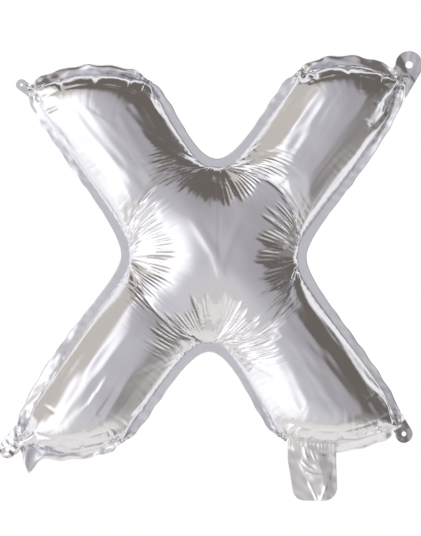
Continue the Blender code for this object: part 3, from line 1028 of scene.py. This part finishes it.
def read_points(piece):
    """Places, normals and flat-sheet places of all points of a piece."""
    mesh = piece.data
    places = np.zeros(len(mesh.vertices) * 3, np.float32)
    mesh.vertices.foreach_get("co", places)
    normals = np.zeros(len(mesh.vertices) * 3, np.float32)
    mesh.vertex_normals.foreach_get("vector", normals)
    corner = np.zeros(len(mesh.loops), np.int32)
    mesh.loops.foreach_get("vertex_index", corner)
    uv = np.zeros(len(mesh.loops) * 2, np.float32)
    mesh.uv_layers["flat_sheet"].data.foreach_get("uv", uv)
    sheet = np.zeros((len(mesh.vertices), 2))
    sheet[corner] = uv.reshape(-1, 2)
    return places.reshape(-1, 3).astype(float), normals.reshape(-1, 3).astype(float), sheet


def move_points(piece, places):
    piece.data.vertices.foreach_set("co", places.astype(np.float32).ravel())
    piece.data.update()


def give_wall(piece, wall):
    """Closes a sheet of film by giving it a thin wall behind its face."""
    solid = piece.modifiers.new("film wall", "SOLIDIFY")
    solid.thickness = wall
    solid.offset = -1
    solid.use_even_offset = False
    apply_all(piece)


# %% [markdown]
# Now both films are made. The unevenness fades out towards the seam, where the two films have to
# meet the rim without a gap.

# %% Make the front and rear films
UNEVEN_WAVE = 0.030
UNEVEN_HEIGHT = 0.00007
UNEVEN_FADE = 0.004


def inflated_film(name, quads, folds, side):
    film = film_piece(name, fitted, quads, flat[:, ::2], 2)
    places, normals, sheet = read_points(film)
    relief = pleat_relief(sheet, side)
    relief += fold_relief(places[:, ::2], folds)
    away = from_seam(sheet)[0]
    uneven = slow_relief(sheet, UNEVEN_WAVE, UNEVEN_HEIGHT, 51 + side)
    relief += uneven * (1 - np.exp(-away / UNEVEN_FADE))
    move_points(film, places + normals * relief[:, None])
    give_wall(film, FILM_WALL)
    print(f"{name}: {len(film.data.polygons)} faces, relief up to {1000 * relief.max():.2f} mm")
    return film


front_foil = inflated_film("front_foil", front_quads, FRONT_FOLDS, 0)
rear_foil = inflated_film("rear_foil", rear_quads, REAR_FOLDS, 1)

# %% [markdown]
# ## The flat rim
#
# Outside the seam the two films are welded into a flat ribbon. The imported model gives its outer
# edge, with the scallops that the gathered film draws in it and the pointed flap that has twisted
# out at the lower left corner. The ripples of the simulated seam run out into it and grow.


# %% Where the rim ends
PARALLEL = 1e-12
NARROWEST_RIM = 0.0012
WIDEST_RIM = 0.034
BELOW_MIDDLE = -0.12
NECK_SIDE_GAP = 0.0005
RIM_EVENING = 0.014
CALM_NOTCH = 0.060


def first_crossing(start, way, line, nearest, furthest):
    """How far each start is from a closed line, going its own way, or infinity outside the two limits."""
    run = np.roll(line, -1, axis=0) - line
    gap = line[None] - start[:, None]
    cross = way[:, None, 0] * run[None, :, 1] - way[:, None, 1] * run[None, :, 0]
    cross = np.where(np.abs(cross) < PARALLEL, PARALLEL, cross)
    reach = (gap[..., 0] * run[None, :, 1] - gap[..., 1] * run[None, :, 0]) / cross
    share = (gap[..., 0] * way[:, None, 1] - gap[..., 1] * way[:, None, 0]) / cross
    hit = (share >= 0) & (share <= 1) & (reach > nearest) & (reach < furthest)
    return np.where(hit, reach, np.inf).min(axis=1)


rim_outline = flat_lines("sealed_rim", -1)[0]
seam_place = tube_place[seam]
straight_out = outwards(seam_place)
straight_out = straight_out / np.linalg.norm(straight_out, axis=1)[:, None]
rim_reach = first_crossing(seam_place, straight_out, rim_outline, NARROWEST_RIM, WIDEST_RIM)
neck_low, neck_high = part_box("neck_front_ply")
at_neck = (seam_place[:, 1] < BELOW_MIDDLE) & (seam_place[:, 0] > neck_low.x - NECK_SIDE_GAP)
at_neck &= seam_place[:, 0] < neck_high.x + NECK_SIDE_GAP
rim_reach = np.where(np.isfinite(rim_reach), rim_reach, RIM_WIDTH)
evened_reach = smoothed_round(rim_reach[:, None], seam_spacing, RIM_EVENING)[:, 0]
rim_reach = rim_reach + notch_share(seam_reach, CALM_NOTCH) * (evened_reach - rim_reach)
narrowest, widest = 1000 * rim_reach[~at_neck].min(), 1000 * rim_reach[~at_neck].max()
print(f"rim between {narrowest:.1f} and {widest:.1f} mm wide")
print(f"{int(at_neck.sum())} points of the seam lie at the neck")

# %% [markdown]
# The strip starts a little inside the seam, between the two films, so that no light shows through,
# and it stops at the neck, where the film goes on downwards instead. It is ruffled most on the ends
# of the arms, where the most film is gathered, and lies flat in the notches.

# %% Make the rim
TUCKED_IN = 0.0012
RIM_WALL = 0.00020
RUFFLES = (0.0071, 0.0103, 0.0137, 0.0219)
RUFFLE_HEIGHT = 0.0022
LEANS = (0.031, 0.047, 0.083)
LEAN_HEIGHT = 0.0010
RIPPLE_FADE = 0.3
CALM_RIPPLE = 0.3
SIDE_RUFFLE = 0.20
END_RUFFLE_BLEND = 0.03
NOTCH_CALM = 0.95
CRUMPLED_FROM = (0.045, 0.055)
CRUMPLED_BLEND = 0.03
CRUMPLED_RUFFLE = 0.8
RIM_CREASE_WAVE = 0.0085
RIM_CREASE_HEIGHT = 0.00013
CALM_CREASE = 0.15


def how_ruffled():
    """From 0, flat, to 1: most on the arms' ends, and much of it on the crumpled lower left leg."""
    ruffled = SIDE_RUFFLE + (1 - SIDE_RUFFLE) * end_share(seam_reach, END_RUFFLE_BLEND)
    beyond = np.clip((-seam_place - np.array(CRUMPLED_FROM)) / CRUMPLED_BLEND, 0, 1)
    ruffled = np.maximum(ruffled, CRUMPLED_RUFFLE * (beyond[:, 0] * beyond[:, 1]))
    return ruffled * (1 - NOTCH_CALM * notch_share(seam_reach, CALM_NOTCH))


def rim_strip():
    """Places, quads and flat-sheet places of the strip, ring by ring from the seam outwards."""
    ruffled = how_ruffled()
    rippled = CALM_RIPPLE + (1 - CALM_RIPPLE) * np.sqrt(ruffled)
    wave = ruffle(seam_reach, RUFFLES, 5) * ruffled
    lean = ruffle(seam_reach, LEANS, 6)
    places = []
    sheet = []
    for ring in range(-1, RIM_ROWS + 1):
        out = -TUCKED_IN if ring < 0 else ring / RIM_ROWS * rim_reach
        share = max(ring, 0) / RIM_ROWS
        height = fitted[rim_rings[max(ring, 0)], 1] * (1 - RIPPLE_FADE * share) * rippled
        height = height + share * (RUFFLE_HEIGHT * wave + LEAN_HEIGHT * lean * ruffled)
        places.append(in_space(seam_place + straight_out * np.reshape(out, (-1, 1)), height))
        sheet.append(seam_line + outwards(seam_line) * (ring * RIM_WIDTH / RIM_ROWS))
    count = len(seam)
    ring_index = np.arange(len(places) * count).reshape(len(places), count)
    quads = []
    for inner, outer in zip(ring_index, ring_index[1:]):
        around = np.stack([inner, np.roll(inner, -1), np.roll(outer, -1), outer], axis=1)
        quads.append(around[~(at_neck & np.roll(at_neck, -1))])
    return np.concatenate(places), np.concatenate(quads)[:, ::-1], np.concatenate(sheet)


rim_places, strip_quads, rim_sheet = rim_strip()
sealed_rim_foil = film_piece("sealed_rim_foil", rim_places, strip_quads, rim_sheet, 2)
places, normals, sheet = read_points(sealed_rim_foil)
creased = slow_relief(sheet, RIM_CREASE_WAVE, RIM_CREASE_HEIGHT, 62)
creased = creased * (CALM_CREASE + (1 - CALM_CREASE) * (1 - notch_share(from_seam(sheet)[1], CALM_NOTCH)))
move_points(sealed_rim_foil, places + normals * creased[:, None])
give_wall(sealed_rim_foil, RIM_WALL)
print(f"sealed_rim_foil: {len(sealed_rim_foil.data.polygons)} faces")

# %% [markdown]
# ## The neck
#
# The balloon is filled through a flat neck under one leg. It is two plies of the same film with a
# strip of clear film between them that shuts by itself. It is limp, has been pinched and folded, and
# its flat facets catch the light one by one. A crease is where the slope changes along a line, so the
# neck is drawn as a sum of such changes.


# %% Creases in a limp sheet
def crease(points, first, last, slope, softness):
    """Height that starts at the line from first to last and grows with a slope to the right of it."""
    run = np.subtract(last, first)
    right = np.array([run[1], -run[0]]) / np.linalg.norm(run)
    beyond = (points - np.array(first)) @ right
    return slope * (np.sqrt(beyond**2 + softness**2) + beyond - softness) / 2


def span_at(line, height):
    """The lowest and highest x of a closed line at each of the given heights."""
    a, b = line, np.roll(line, -1, axis=0)
    spans = []
    for z in height:
        cut = (a[:, 1] - z) * (b[:, 1] - z) <= 0
        part = np.clip((z - a[cut, 1]) / np.where(b[cut, 1] == a[cut, 1], 1, b[cut, 1] - a[cut, 1]), 0, 1)
        x = a[cut, 0] + part * (b[cut, 0] - a[cut, 0])
        spans.append((x.min(), x.max()))
    return np.array(spans)


# %% [markdown]
# The creases and folds of the neck are set where the photograph shows them: two long creases that
# meet at its end and leave a pale wedge between them, one across under its root, and a few short
# folds. Close pleats hang from the weld above, where the film is gathered.

# %% Where the neck is creased
NECK_LEVEL = 0.0015
NECK_CREASES = [
    ((316.0, 502), (296.0, 459), 0.23, 0.0003),
    ((328.0, 502), (320.0, 466), -0.33, 0.0003),
    ((336.0, 500), (329.0, 466), 0.16, 0.0004),
    ((338.0, 456), (308.0, 458), -0.30, 0.0004),
    ((322.0, 502), (308.0, 478), -0.10, 0.0003),
]
NECK_FOLDS = [
    (at_pixels((301, 460), (307, 466), (315, 471)), 0.00065, 0.0011),
    (at_pixels((306, 472), (313, 475), (324, 475)), 0.00070, 0.0014),
    (at_pixels((308, 481), (313, 491), (318, 503)), 0.00060, 0.0010),
    (at_pixels((327, 482), (324, 492), (320, 503)), 0.00060, 0.0011),
    (at_pixels((304, 446), (305, 453), (308, 460)), 0.00060, 0.0010),
    (at_pixels((311, 448), (313, 455), (316, 462)), 0.00050, 0.0010),
    (at_pixels((316, 452), (326, 454), (336, 450)), -0.00060, 0.0018),
    (at_pixels((332, 458), (333, 470), (331, 482)), -0.00045, 0.0015),
]
ROOT_PLEATS = Pleats(0.0036, (0.002, 0.010), 0.0006, 78, 0.0006)
NECK_LENGTH = 0.052
NECK_UNEVEN_WAVE = 0.012
NECK_UNEVEN_HEIGHT = 0.00022


def neck_height(plan, down):
    """How far the folded neck stands forward, for places (x, z) and shares of the way down."""
    creased = np.zeros(len(plan))
    for first, last, slope, softness in NECK_CREASES:
        creased += crease(plan, at_pixel(*first), at_pixel(*last), slope, softness)
    grown = np.clip((down - 0.02) / 0.3, 0, 1)
    height = (creased - NECK_LEVEL) * grown + fold_relief(plan, NECK_FOLDS)
    height += pleats(down * NECK_LENGTH, plan[:, 0], ROOT_PLEATS)
    uneven = slow_relief(plan, NECK_UNEVEN_WAVE, NECK_UNEVEN_HEIGHT, 71)
    return height + uneven * np.clip(down / 0.1, 0, 1)


# %% [markdown]
# A ply starts as Blender's grid, whose rows are set between the seam under the leg and the ply's free
# end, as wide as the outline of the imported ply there. Both plies and the valve film between them take
# the same creases, so they stay apart by the same small gap all over.

# %% Make the two plies
NECK_COLUMNS = 60
NECK_ROWS = 72
PLY_OFFSET = 0.0006
END_CLEARANCE = 0.00005
ROOT_MARGIN = 0.004
SHOULDER = 0.036
LEG_MARGIN = 0.02

neck_outline = flat_lines("neck_front_ply", -1)[0]
under_leg = seam_place[(seam_place[:, 1] < BELOW_MIDDLE) & (seam_place[:, 0] > neck_low.x - LEG_MARGIN)]
under_leg = under_leg[under_leg[:, 0] < neck_high.x + LEG_MARGIN]
under_leg = under_leg[np.argsort(under_leg[:, 0])]


def hanging_ply(name, outline, middle_y, columns, rows):
    """A flat ply with a UV map, whose rows fill the outline from the seam down to its free end."""
    bpy.ops.object.select_all(action="DESELECT")
    bpy.ops.mesh.primitive_grid_add(x_subdivisions=columns, y_subdivisions=rows, size=1)
    ply = bpy.context.object
    ply.name = ply.data.name = name
    ply.data.uv_layers[0].name = "flat_sheet"
    grid = np.zeros(len(ply.data.vertices) * 3, np.float32)
    ply.data.vertices.foreach_get("co", grid)
    u, v = grid.reshape(-1, 3)[:, 0] + 0.5, 0.5 - grid.reshape(-1, 3)[:, 1]
    low = outline[:, 1].min() + END_CLEARANCE
    left, right = outline[:, 0].min(), outline[:, 0].max()
    top = np.interp(left + u * (right - left), under_leg[:, 0], under_leg[:, 1])
    z = top + (low - top) * v
    inside = np.minimum(z, outline[:, 1].max() - ROOT_MARGIN)
    spans = span_at(outline, np.minimum(inside, low + SHOULDER))
    x = spans[:, 0] + u * (spans[:, 1] - spans[:, 0])
    move_points(ply, np.stack([x, np.full(len(x), middle_y), z], axis=1))
    corner = np.zeros(len(ply.data.loops), np.int32)
    ply.data.loops.foreach_get("vertex_index", corner)
    flat_place = np.stack([left + u * (right - left), top.mean() + v * (low - top.mean())], axis=1)
    ply.data.uv_layers[0].data.foreach_set("uv", flat_place[corner].astype(np.float32).ravel())
    ply.data.shade_smooth()
    return ply, v


def crumpled_ply(name, outline, middle_y, columns, rows):
    """A ply that the neck's creases bend, at its own small distance from the middle of the film."""
    ply, down = hanging_ply(name, outline, middle_y, columns, rows)
    places = read_points(ply)[0]
    places[:, 1] -= neck_height(places[:, ::2], down)
    move_points(ply, places)
    print(f"{name}: depth {1000 * np.ptp(places[:, 1]):.1f} mm")
    return ply


def fix_ply(ply, side):
    """Turns the faces outwards, smooths the ply once and closes it with a wall."""
    bpy.ops.object.select_all(action="DESELECT")
    ply.select_set(True)
    bpy.context.view_layer.objects.active = ply
    facing = sum(polygon.normal.y * polygon.area for polygon in ply.data.polygons)
    if facing * side < 0:
        bpy.ops.object.mode_set(mode="EDIT")
        bpy.ops.mesh.select_all(action="SELECT")
        bpy.ops.mesh.flip_normals()
        bpy.ops.object.mode_set(mode="OBJECT")
    smooth_film(ply, 1)
    give_wall(ply, FILM_WALL)


neck_front_foil = crumpled_ply("neck_front_foil", neck_outline, -PLY_OFFSET, NECK_COLUMNS, NECK_ROWS)
neck_rear_foil = crumpled_ply("neck_rear_foil", neck_outline, PLY_OFFSET, NECK_COLUMNS, NECK_ROWS)
fix_ply(neck_front_foil, -1)
fix_ply(neck_rear_foil, 1)

# %% [markdown]
# The valve is a narrower strip of clear film that is folded along with the plies. Only its end can
# be seen, by looking up into the mouth of the neck.

# %% Make the valve film
VALVE_COLUMNS = 20
VALVE_ROWS = 40

valve_outline = flat_lines("valve_film", -1)[0]
clear_valve = crumpled_ply("clear_valve", valve_outline, 0.0, VALVE_COLUMNS, VALVE_ROWS)
fix_ply(clear_valve, -1)
print(f"clear_valve: {len(clear_valve.data.polygons)} faces")

# %% [markdown]
# ## The hanging ears
#
# At its four outer corners the film ends in round ears with a punched hole, where a ribbon goes
# through. They are flat weld without air, they curl, and on the photographed balloon they are badly
# crumpled. Each is drawn as a ring of quads between its hole and its outline, then bent.


# %% A punched ear
EAR_SPOKES = 84
EAR_RINGS = 9
LONGEST_SPOKE = 0.06
RIM_POINT_SPACING = 0.0005
MEETS_RIM = 0.0009
UNDER_RIM = 0.0016


def densely(line, spacing):
    """Points close together on a closed line."""
    dense = []
    for a, b in zip(line, np.roll(line, -1, axis=0)):
        count = max(1, int(np.linalg.norm(b - a) / spacing))
        dense.append(a + (b - a) * np.linspace(0, 1, count, endpoint=False)[:, None])
    return np.concatenate(dense)


rim_edge_points = densely(rim_outline, RIM_POINT_SPACING)


def along_spokes(centre, way, line):
    """How far from the hole's centre a closed line lies, going each way."""
    return first_crossing(np.repeat(centre[None], len(way), axis=0), way, line, 0, LONGEST_SPOKE)


def ear_sheet(name, node):
    """The ear's outline as a flat sheet with its hole, rooted a little under the rim's edge."""
    outline, hole = flat_lines(node, -1)[:2]
    centre = hole.mean(axis=0)
    angle = 2 * np.pi * np.arange(EAR_SPOKES) / EAR_SPOKES
    way = np.stack([np.cos(angle), np.sin(angle)], axis=1)
    inner = along_spokes(centre, way, hole)
    outer = along_spokes(centre, way, outline)
    tip = centre + way * outer[:, None]
    to_rim = np.linalg.norm(tip[:, None] - rim_edge_points[None], axis=2).min(axis=1)
    outer = outer + UNDER_RIM * (to_rim < MEETS_RIM)
    rings = []
    for ring in range(EAR_RINGS + 1):
        share = ring / EAR_RINGS
        rings.append(centre + way * (inner + (outer - inner) * share)[:, None])
    flat_places = np.concatenate(rings)
    index = np.arange(len(flat_places)).reshape(EAR_RINGS + 1, EAR_SPOKES)
    quads = []
    for near, far in zip(index, index[1:]):
        quads.append(np.stack([near, np.roll(near, -1), np.roll(far, -1), far], axis=1))
    quads = np.concatenate(quads)
    ear = film_piece(name, in_space(flat_places, np.zeros(len(flat_places))), quads, flat_places, 1)
    return ear, centre


# %% [markdown]
# Each ear curls forward, the more so the further from its root. It is creased along lines from the
# photograph, with a fine crumple all over. A place in the photograph marks each root.

# %% Bend the four ears
CURL_REACH = 0.02
FREE_FROM = 0.006
CRUMPLE_WAVE = 0.0075
FIRST_EAR_SEED = 81


def bend_ear(ear, centre, root, curl, creases, crumple, seed):
    """Curls an ear away from its root, and creases and crumples it."""
    places = read_points(ear)[0]
    plan = places[:, ::2]
    way = (centre - root) / np.linalg.norm(centre - root)
    out = np.clip((plan - root) @ way, 0, None)
    lift = curl * (out / CURL_REACH) ** 2
    for first, last, slope, softness in creases:
        lift = lift + crease(plan, at_pixel(*first), at_pixel(*last), slope, softness)
    free = np.clip(out / FREE_FROM, 0, 1)
    places[:, 1] += (lift + slow_relief(plan, CRUMPLE_WAVE, crumple, seed)) * free
    move_points(ear, places)
    give_wall(ear, RIM_WALL)
    print(f"{ear.name}: {1000 * np.ptp(places[:, 1]):.1f} mm deep")


EARS = [
    ("upper_right_ear_foil", "upper_right_ear", (397, 86), -0.0010, 0.00012),
    ("lower_right_ear_foil", "lower_right_ear", (393, 424), -0.0006, 0.00010),
    ("lower_left_ear_foil", "lower_left_ear", (22, 440), -0.0008, 0.00032),
    ("upper_left_ear_foil", "upper_left_ear", (32, 92), -0.0004, 0.00012),
]
EAR_CREASES = {
    "upper_right_ear_foil": [
        ((410, 78), (390, 58), 0.46, 0.0008),
        ((404, 62), (396, 48), -0.40, 0.0010),
        ((409, 94), (410, 68), 0.22, 0.0006),
        ((406, 68), (404, 94), -0.34, 0.0006),
    ],
    "lower_right_ear_foil": [
        ((398, 448), (384, 420), 0.50, 0.0012),
        ((408, 444), (408, 416), -0.18, 0.0012),
    ],
    "lower_left_ear_foil": [
        ((14, 436), (12, 460), 0.34, 0.0005),
        ((0, 449), (20, 444), -0.42, 0.0005),
    ],
    "upper_left_ear_foil": [
        ((28, 98), (28, 86), -0.25, 0.0006),
    ],
}
ears = {}
for number, (name, node_name, root, curl, crumple) in enumerate(EARS):
    ears[name], centre = ear_sheet(name, node_name)
    root = np.array(at_pixel(*root))
    bend_ear(ears[name], centre, root, curl, EAR_CREASES[name], crumple, FIRST_EAR_SEED + number)

# %% [markdown]
# ## Finishes
#
# All the foil is the same stuff: clear polyester film, metallised with aluminium in a vacuum. A
# metal has no colour of its own in a shader, only the tint of its mirror, and what the eye reads as
# the balloon's colour is what it reflects. The film's surface isn't as flat as glass: it has tiny
# dents from the roll it was wound on, which soften the mirror a little.

# %% Small helpers for materials


def colour(hexa):
    """An sRGB hex colour as the linear colour that shaders work in."""
    parts = [int(hexa[i : i + 2], 16) / 255 for i in (1, 3, 5)]
    linear = [p / 12.92 if p <= 0.04045 else ((p + 0.055) / 1.055) ** 2.4 for p in parts]
    return (*linear, 1.0)


def node(tree, kind, settings=None, inputs=None):
    """Adds a node with its settings. An input is given by its name or number as a value or a socket."""
    made = tree.nodes.new(kind)
    for name, value in (settings or {}).items():
        setattr(made, name, value)
    for key, value in (inputs or {}).items():
        if isinstance(value, bpy.types.NodeSocket):
            tree.links.new(value, made.inputs[key])
        else:
            made.inputs[key].default_value = value
    return made


def new_material(name):
    material = bpy.data.materials.new(name)
    material.use_nodes = True
    return material, material.node_tree, material.node_tree.nodes["Principled BSDF"]


# %% [markdown]
# Vacuum-metallised film is a clean mirror with a slight haze, and dents about 2 mm across. The neck's
# film is the same stuff, but it was never pulled tight and looks a little warmer. The weld's hot,
# ribbed jaws leave the film duller, with fine creases about a millimetre apart. One function makes
# all three from their tint and the sizes of what is on them.

# %% Metallised polyester film
FILM_BUMP = 0.0001


def metallised_film(name, tint, haze_size, roughness, dent_size, dent_detail, dent_strength):
    """A mirror whose haze varies between two roughnesses, with small dents. Sizes are in metres."""
    material, tree, shader = new_material(name)
    shader.inputs["Base Color"].default_value = colour(tint)
    shader.inputs["Metallic"].default_value = 1.0
    place = node(tree, "ShaderNodeTexCoord").outputs["Object"]
    haze = {"Vector": place, "Scale": 1 / haze_size, "Detail": 3.0}
    haze = node(tree, "ShaderNodeTexNoise", {}, haze).outputs["Fac"]
    rough = {"Value": haze, "To Min": roughness[0], "To Max": roughness[1]}
    rough = node(tree, "ShaderNodeMapRange", {}, rough).outputs["Result"]
    tree.links.new(rough, shader.inputs["Roughness"])
    dents = {"Vector": place, "Scale": 1 / dent_size, "Detail": dent_detail}
    dents = node(tree, "ShaderNodeTexNoise", {}, dents).outputs["Fac"]
    bump = {"Height": dents, "Strength": dent_strength, "Distance": FILM_BUMP}
    bump = node(tree, "ShaderNodeBump", {}, bump).outputs["Normal"]
    tree.links.new(bump, shader.inputs["Normal"])
    return material


AS_ROLLED = {
    "haze_size": 0.030,
    "roughness": (0.12, 0.19),
    "dent_size": 0.0022,
    "dent_detail": 2.0,
    "dent_strength": 0.10,
}
WELDED = {
    "haze_size": 0.006,
    "roughness": (0.16, 0.32),
    "dent_size": 0.0016,
    "dent_detail": 3.0,
    "dent_strength": 0.12,
}
tight_film = metallised_film("metallised_polyester_film", "#E9E8EC", **AS_ROLLED)
limp_film = metallised_film("limp_metallised_polyester_film", "#F2F1EE", **AS_ROLLED)
welded_film = metallised_film("heat_welded_film", "#F1F0F5", **WELDED)

# %% [markdown]
# The valve is thin clear polyethylene. Nearly all light goes through it, with a soft gloss on top that
# is a little uneven, as on any bag.


# %% Clear polyethylene film
def clear_polyethylene():
    """Thin and see-through, with the IOR of polyethylene and an uneven gloss."""
    material, tree, shader = new_material("clear_polyethylene_film")
    shader.inputs["Base Color"].default_value = colour("#F2F4F2")
    shader.inputs["IOR"].default_value = 1.51
    shader.inputs["Alpha"].default_value = 0.35
    place = node(tree, "ShaderNodeTexCoord").outputs["Object"]
    haze = {"Vector": place, "Scale": 1 / 0.004, "Detail": 2.0}
    haze = node(tree, "ShaderNodeTexNoise", {}, haze).outputs["Fac"]
    rough = {"Value": haze, "To Min": 0.10, "To Max": 0.25}
    rough = node(tree, "ShaderNodeMapRange", {}, rough).outputs["Result"]
    tree.links.new(rough, shader.inputs["Roughness"])
    return material


clear_film = clear_polyethylene()
for piece in (front_foil, rear_foil):
    piece.data.materials.append(tight_film)
for piece in (neck_front_foil, neck_rear_foil):
    piece.data.materials.append(limp_film)
for piece in (sealed_rim_foil, *ears.values()):
    piece.data.materials.append(welded_film)
clear_valve.data.materials.append(clear_film)
print("materials:", [m.name for m in (tight_film, limp_film, welded_film, clear_film)])

# %% [markdown]
# ## The studio
#
# A mirror shows its surroundings, so the light is drawn as a room: a wide white wall of light on the
# left, an ordinary pale room in front, and darker surroundings on the right and overhead. These are
# soft-edged areas of the world, far away. Each has a colour, a direction and a soft edge, between two
# values of how squarely a ray points at it, and covers what comes before it. The camera itself sees
# plain white behind the balloon, as in the photograph.

# %% Surroundings that the foil reflects
WHITE_SIDE = (1.28, 1.28, 1.29, 1)
ROOM = (0.57, 0.555, 0.585, 1)
ROOM_LIT = (0.70, 0.69, 0.715, 1)
ROOM_DIM = (0.44, 0.425, 0.445, 1)
DARK_SIDE = (0.17, 0.15, 0.135, 1)
LOW_RIGHT = (0.30, 0.28, 0.265, 1)
HIGH_LEFT = (0.64, 0.60, 0.55, 1)
SLANT = math.sqrt(0.5)
BELOW = (0.70, 0.68, 0.65, 1)
BACKDROP = (1.05, 1.05, 1.05, 1)
AREAS = (
    (ROOM_LIT, (-0.5, 0, -0.866), -0.05, 0.45),
    (ROOM_DIM, (0.866, 0, 0.5), 0.0, 0.50),
    (WHITE_SIDE, (-1, 0, 0), 0.22, 0.56),
    (DARK_SIDE, (1, 0, 0), 0.70, 0.88),
    (LOW_RIGHT, (SLANT, 0, -SLANT), 0.55, 0.82),
    (DARK_SIDE, (SLANT, 0, SLANT), 0.56, 0.80),
    (HIGH_LEFT, (-SLANT, 0, SLANT), 0.62, 0.86),
    (DARK_SIDE, (0, 0, 1), 0.70, 0.88),
    (BELOW, (0, 0, -1), 0.40, 0.80),
    (BACKDROP, (0, 1, 0), 0.10, 0.40),
    (ROOM, (0, 1, 0), 0.50, 0.80),
)


def studio():
    world = bpy.data.worlds.new("soft_studio")
    world.use_nodes = True
    bpy.context.scene.world = world
    tree = world.node_tree
    tree.nodes.clear()
    way = node(tree, "ShaderNodeTexCoord").outputs["Generated"]
    seen = ROOM
    for light, towards, start, full in AREAS:
        facing = node(tree, "ShaderNodeVectorMath", {"operation": "DOT_PRODUCT"}, {0: way, 1: towards})
        soft = {"Value": facing.outputs["Value"], "From Min": start, "From Max": full}
        edge = node(tree, "ShaderNodeMapRange", {"interpolation_type": "SMOOTHSTEP"}, soft)
        mix = {0: edge.outputs["Result"], 6: seen, 7: light}
        seen = node(tree, "ShaderNodeMix", {"data_type": "RGBA"}, mix).outputs[2]
    room = node(tree, "ShaderNodeBackground", {}, {"Color": seen})
    backdrop = node(tree, "ShaderNodeBackground", {}, {"Color": (1, 1, 1, 1)})
    direct = node(tree, "ShaderNodeLightPath").outputs["Is Camera Ray"]
    both = node(tree, "ShaderNodeMixShader", {}, {0: direct, 1: room.outputs[0], 2: backdrop.outputs[0]})
    node(tree, "ShaderNodeOutputWorld", {}, {"Surface": both.outputs[0]})


studio()
bpy.context.scene.view_settings.view_transform = "Standard"
print(f"{len(AREAS)} soft areas of light round the balloon")

# %% [markdown]
# The balloon hangs in the air, so the floor lies well below it and out of the camera's view. A soft
# light that the mirror film doesn't show lights it.

# %% The floor
FLOOR_DROP = 1.6
FLOOR_SIZE = 2.6
LIGHT_HEIGHT = 1.6
LIGHT_SIZE = 2.0
LIGHT_POWER = 60

bpy.ops.object.select_all(action="DESELECT")
bpy.ops.object.light_add(type="AREA", location=(0, 0, LIGHT_HEIGHT))
overhead = bpy.context.object
overhead.name = "soft_light_for_the_floor"
overhead.data.shape = "DISK"
overhead.data.size = LIGHT_SIZE
overhead.data.energy = LIGHT_POWER
overhead.visible_glossy = False
bpy.ops.object.select_all(action="DESELECT")
bpy.ops.mesh.primitive_plane_add(size=FLOOR_SIZE, location=(0, 0, -FLOOR_DROP))
floor = bpy.context.object
floor.name = "pale_floor"
paint, paint_tree, paint_shader = new_material("matt_white_paint")
paint_shader.inputs["Base Color"].default_value = colour("#F4F3F0")
paint_shader.inputs["Roughness"].default_value = 0.9
floor.data.materials.append(paint)

# %% [markdown]
# ## Put the pieces on the body
#
# Every piece rides on the one body of the imported model and stands for its soft solid, which is
# hidden. The films are filled with air. The rim, neck, valve and ears are sheets. The neck, valve
# and ears are bent so little that their box gives the rectangle they are cut from, and half the area
# of their closed film is the area of the sheet.

STANDS_FOR = {
    "front_foil": ("front_panel", "silver_foil"),
    "rear_foil": ("rear_panel", "silver_foil"),
    "sealed_rim_foil": ("sealed_rim", "welded_foil"),
    "neck_front_foil": ("neck_front_ply", "welded_foil"),
    "neck_rear_foil": ("neck_rear_ply", "welded_foil"),
    "clear_valve": ("valve_film", "clear_valve_film"),
    "upper_right_ear_foil": ("upper_right_ear", "welded_foil"),
    "lower_right_ear_foil": ("lower_right_ear", "welded_foil"),
    "lower_left_ear_foil": ("lower_left_ear", "welded_foil"),
    "upper_left_ear_foil": ("upper_left_ear", "welded_foil"),
}
for name, (node_name, slot_name) in STANDS_FOR.items():
    piece = bpy.data.objects[name]
    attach(piece, "root")
    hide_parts(node_name)
print(f"{len(STANDS_FOR)} pieces stand for their solids")
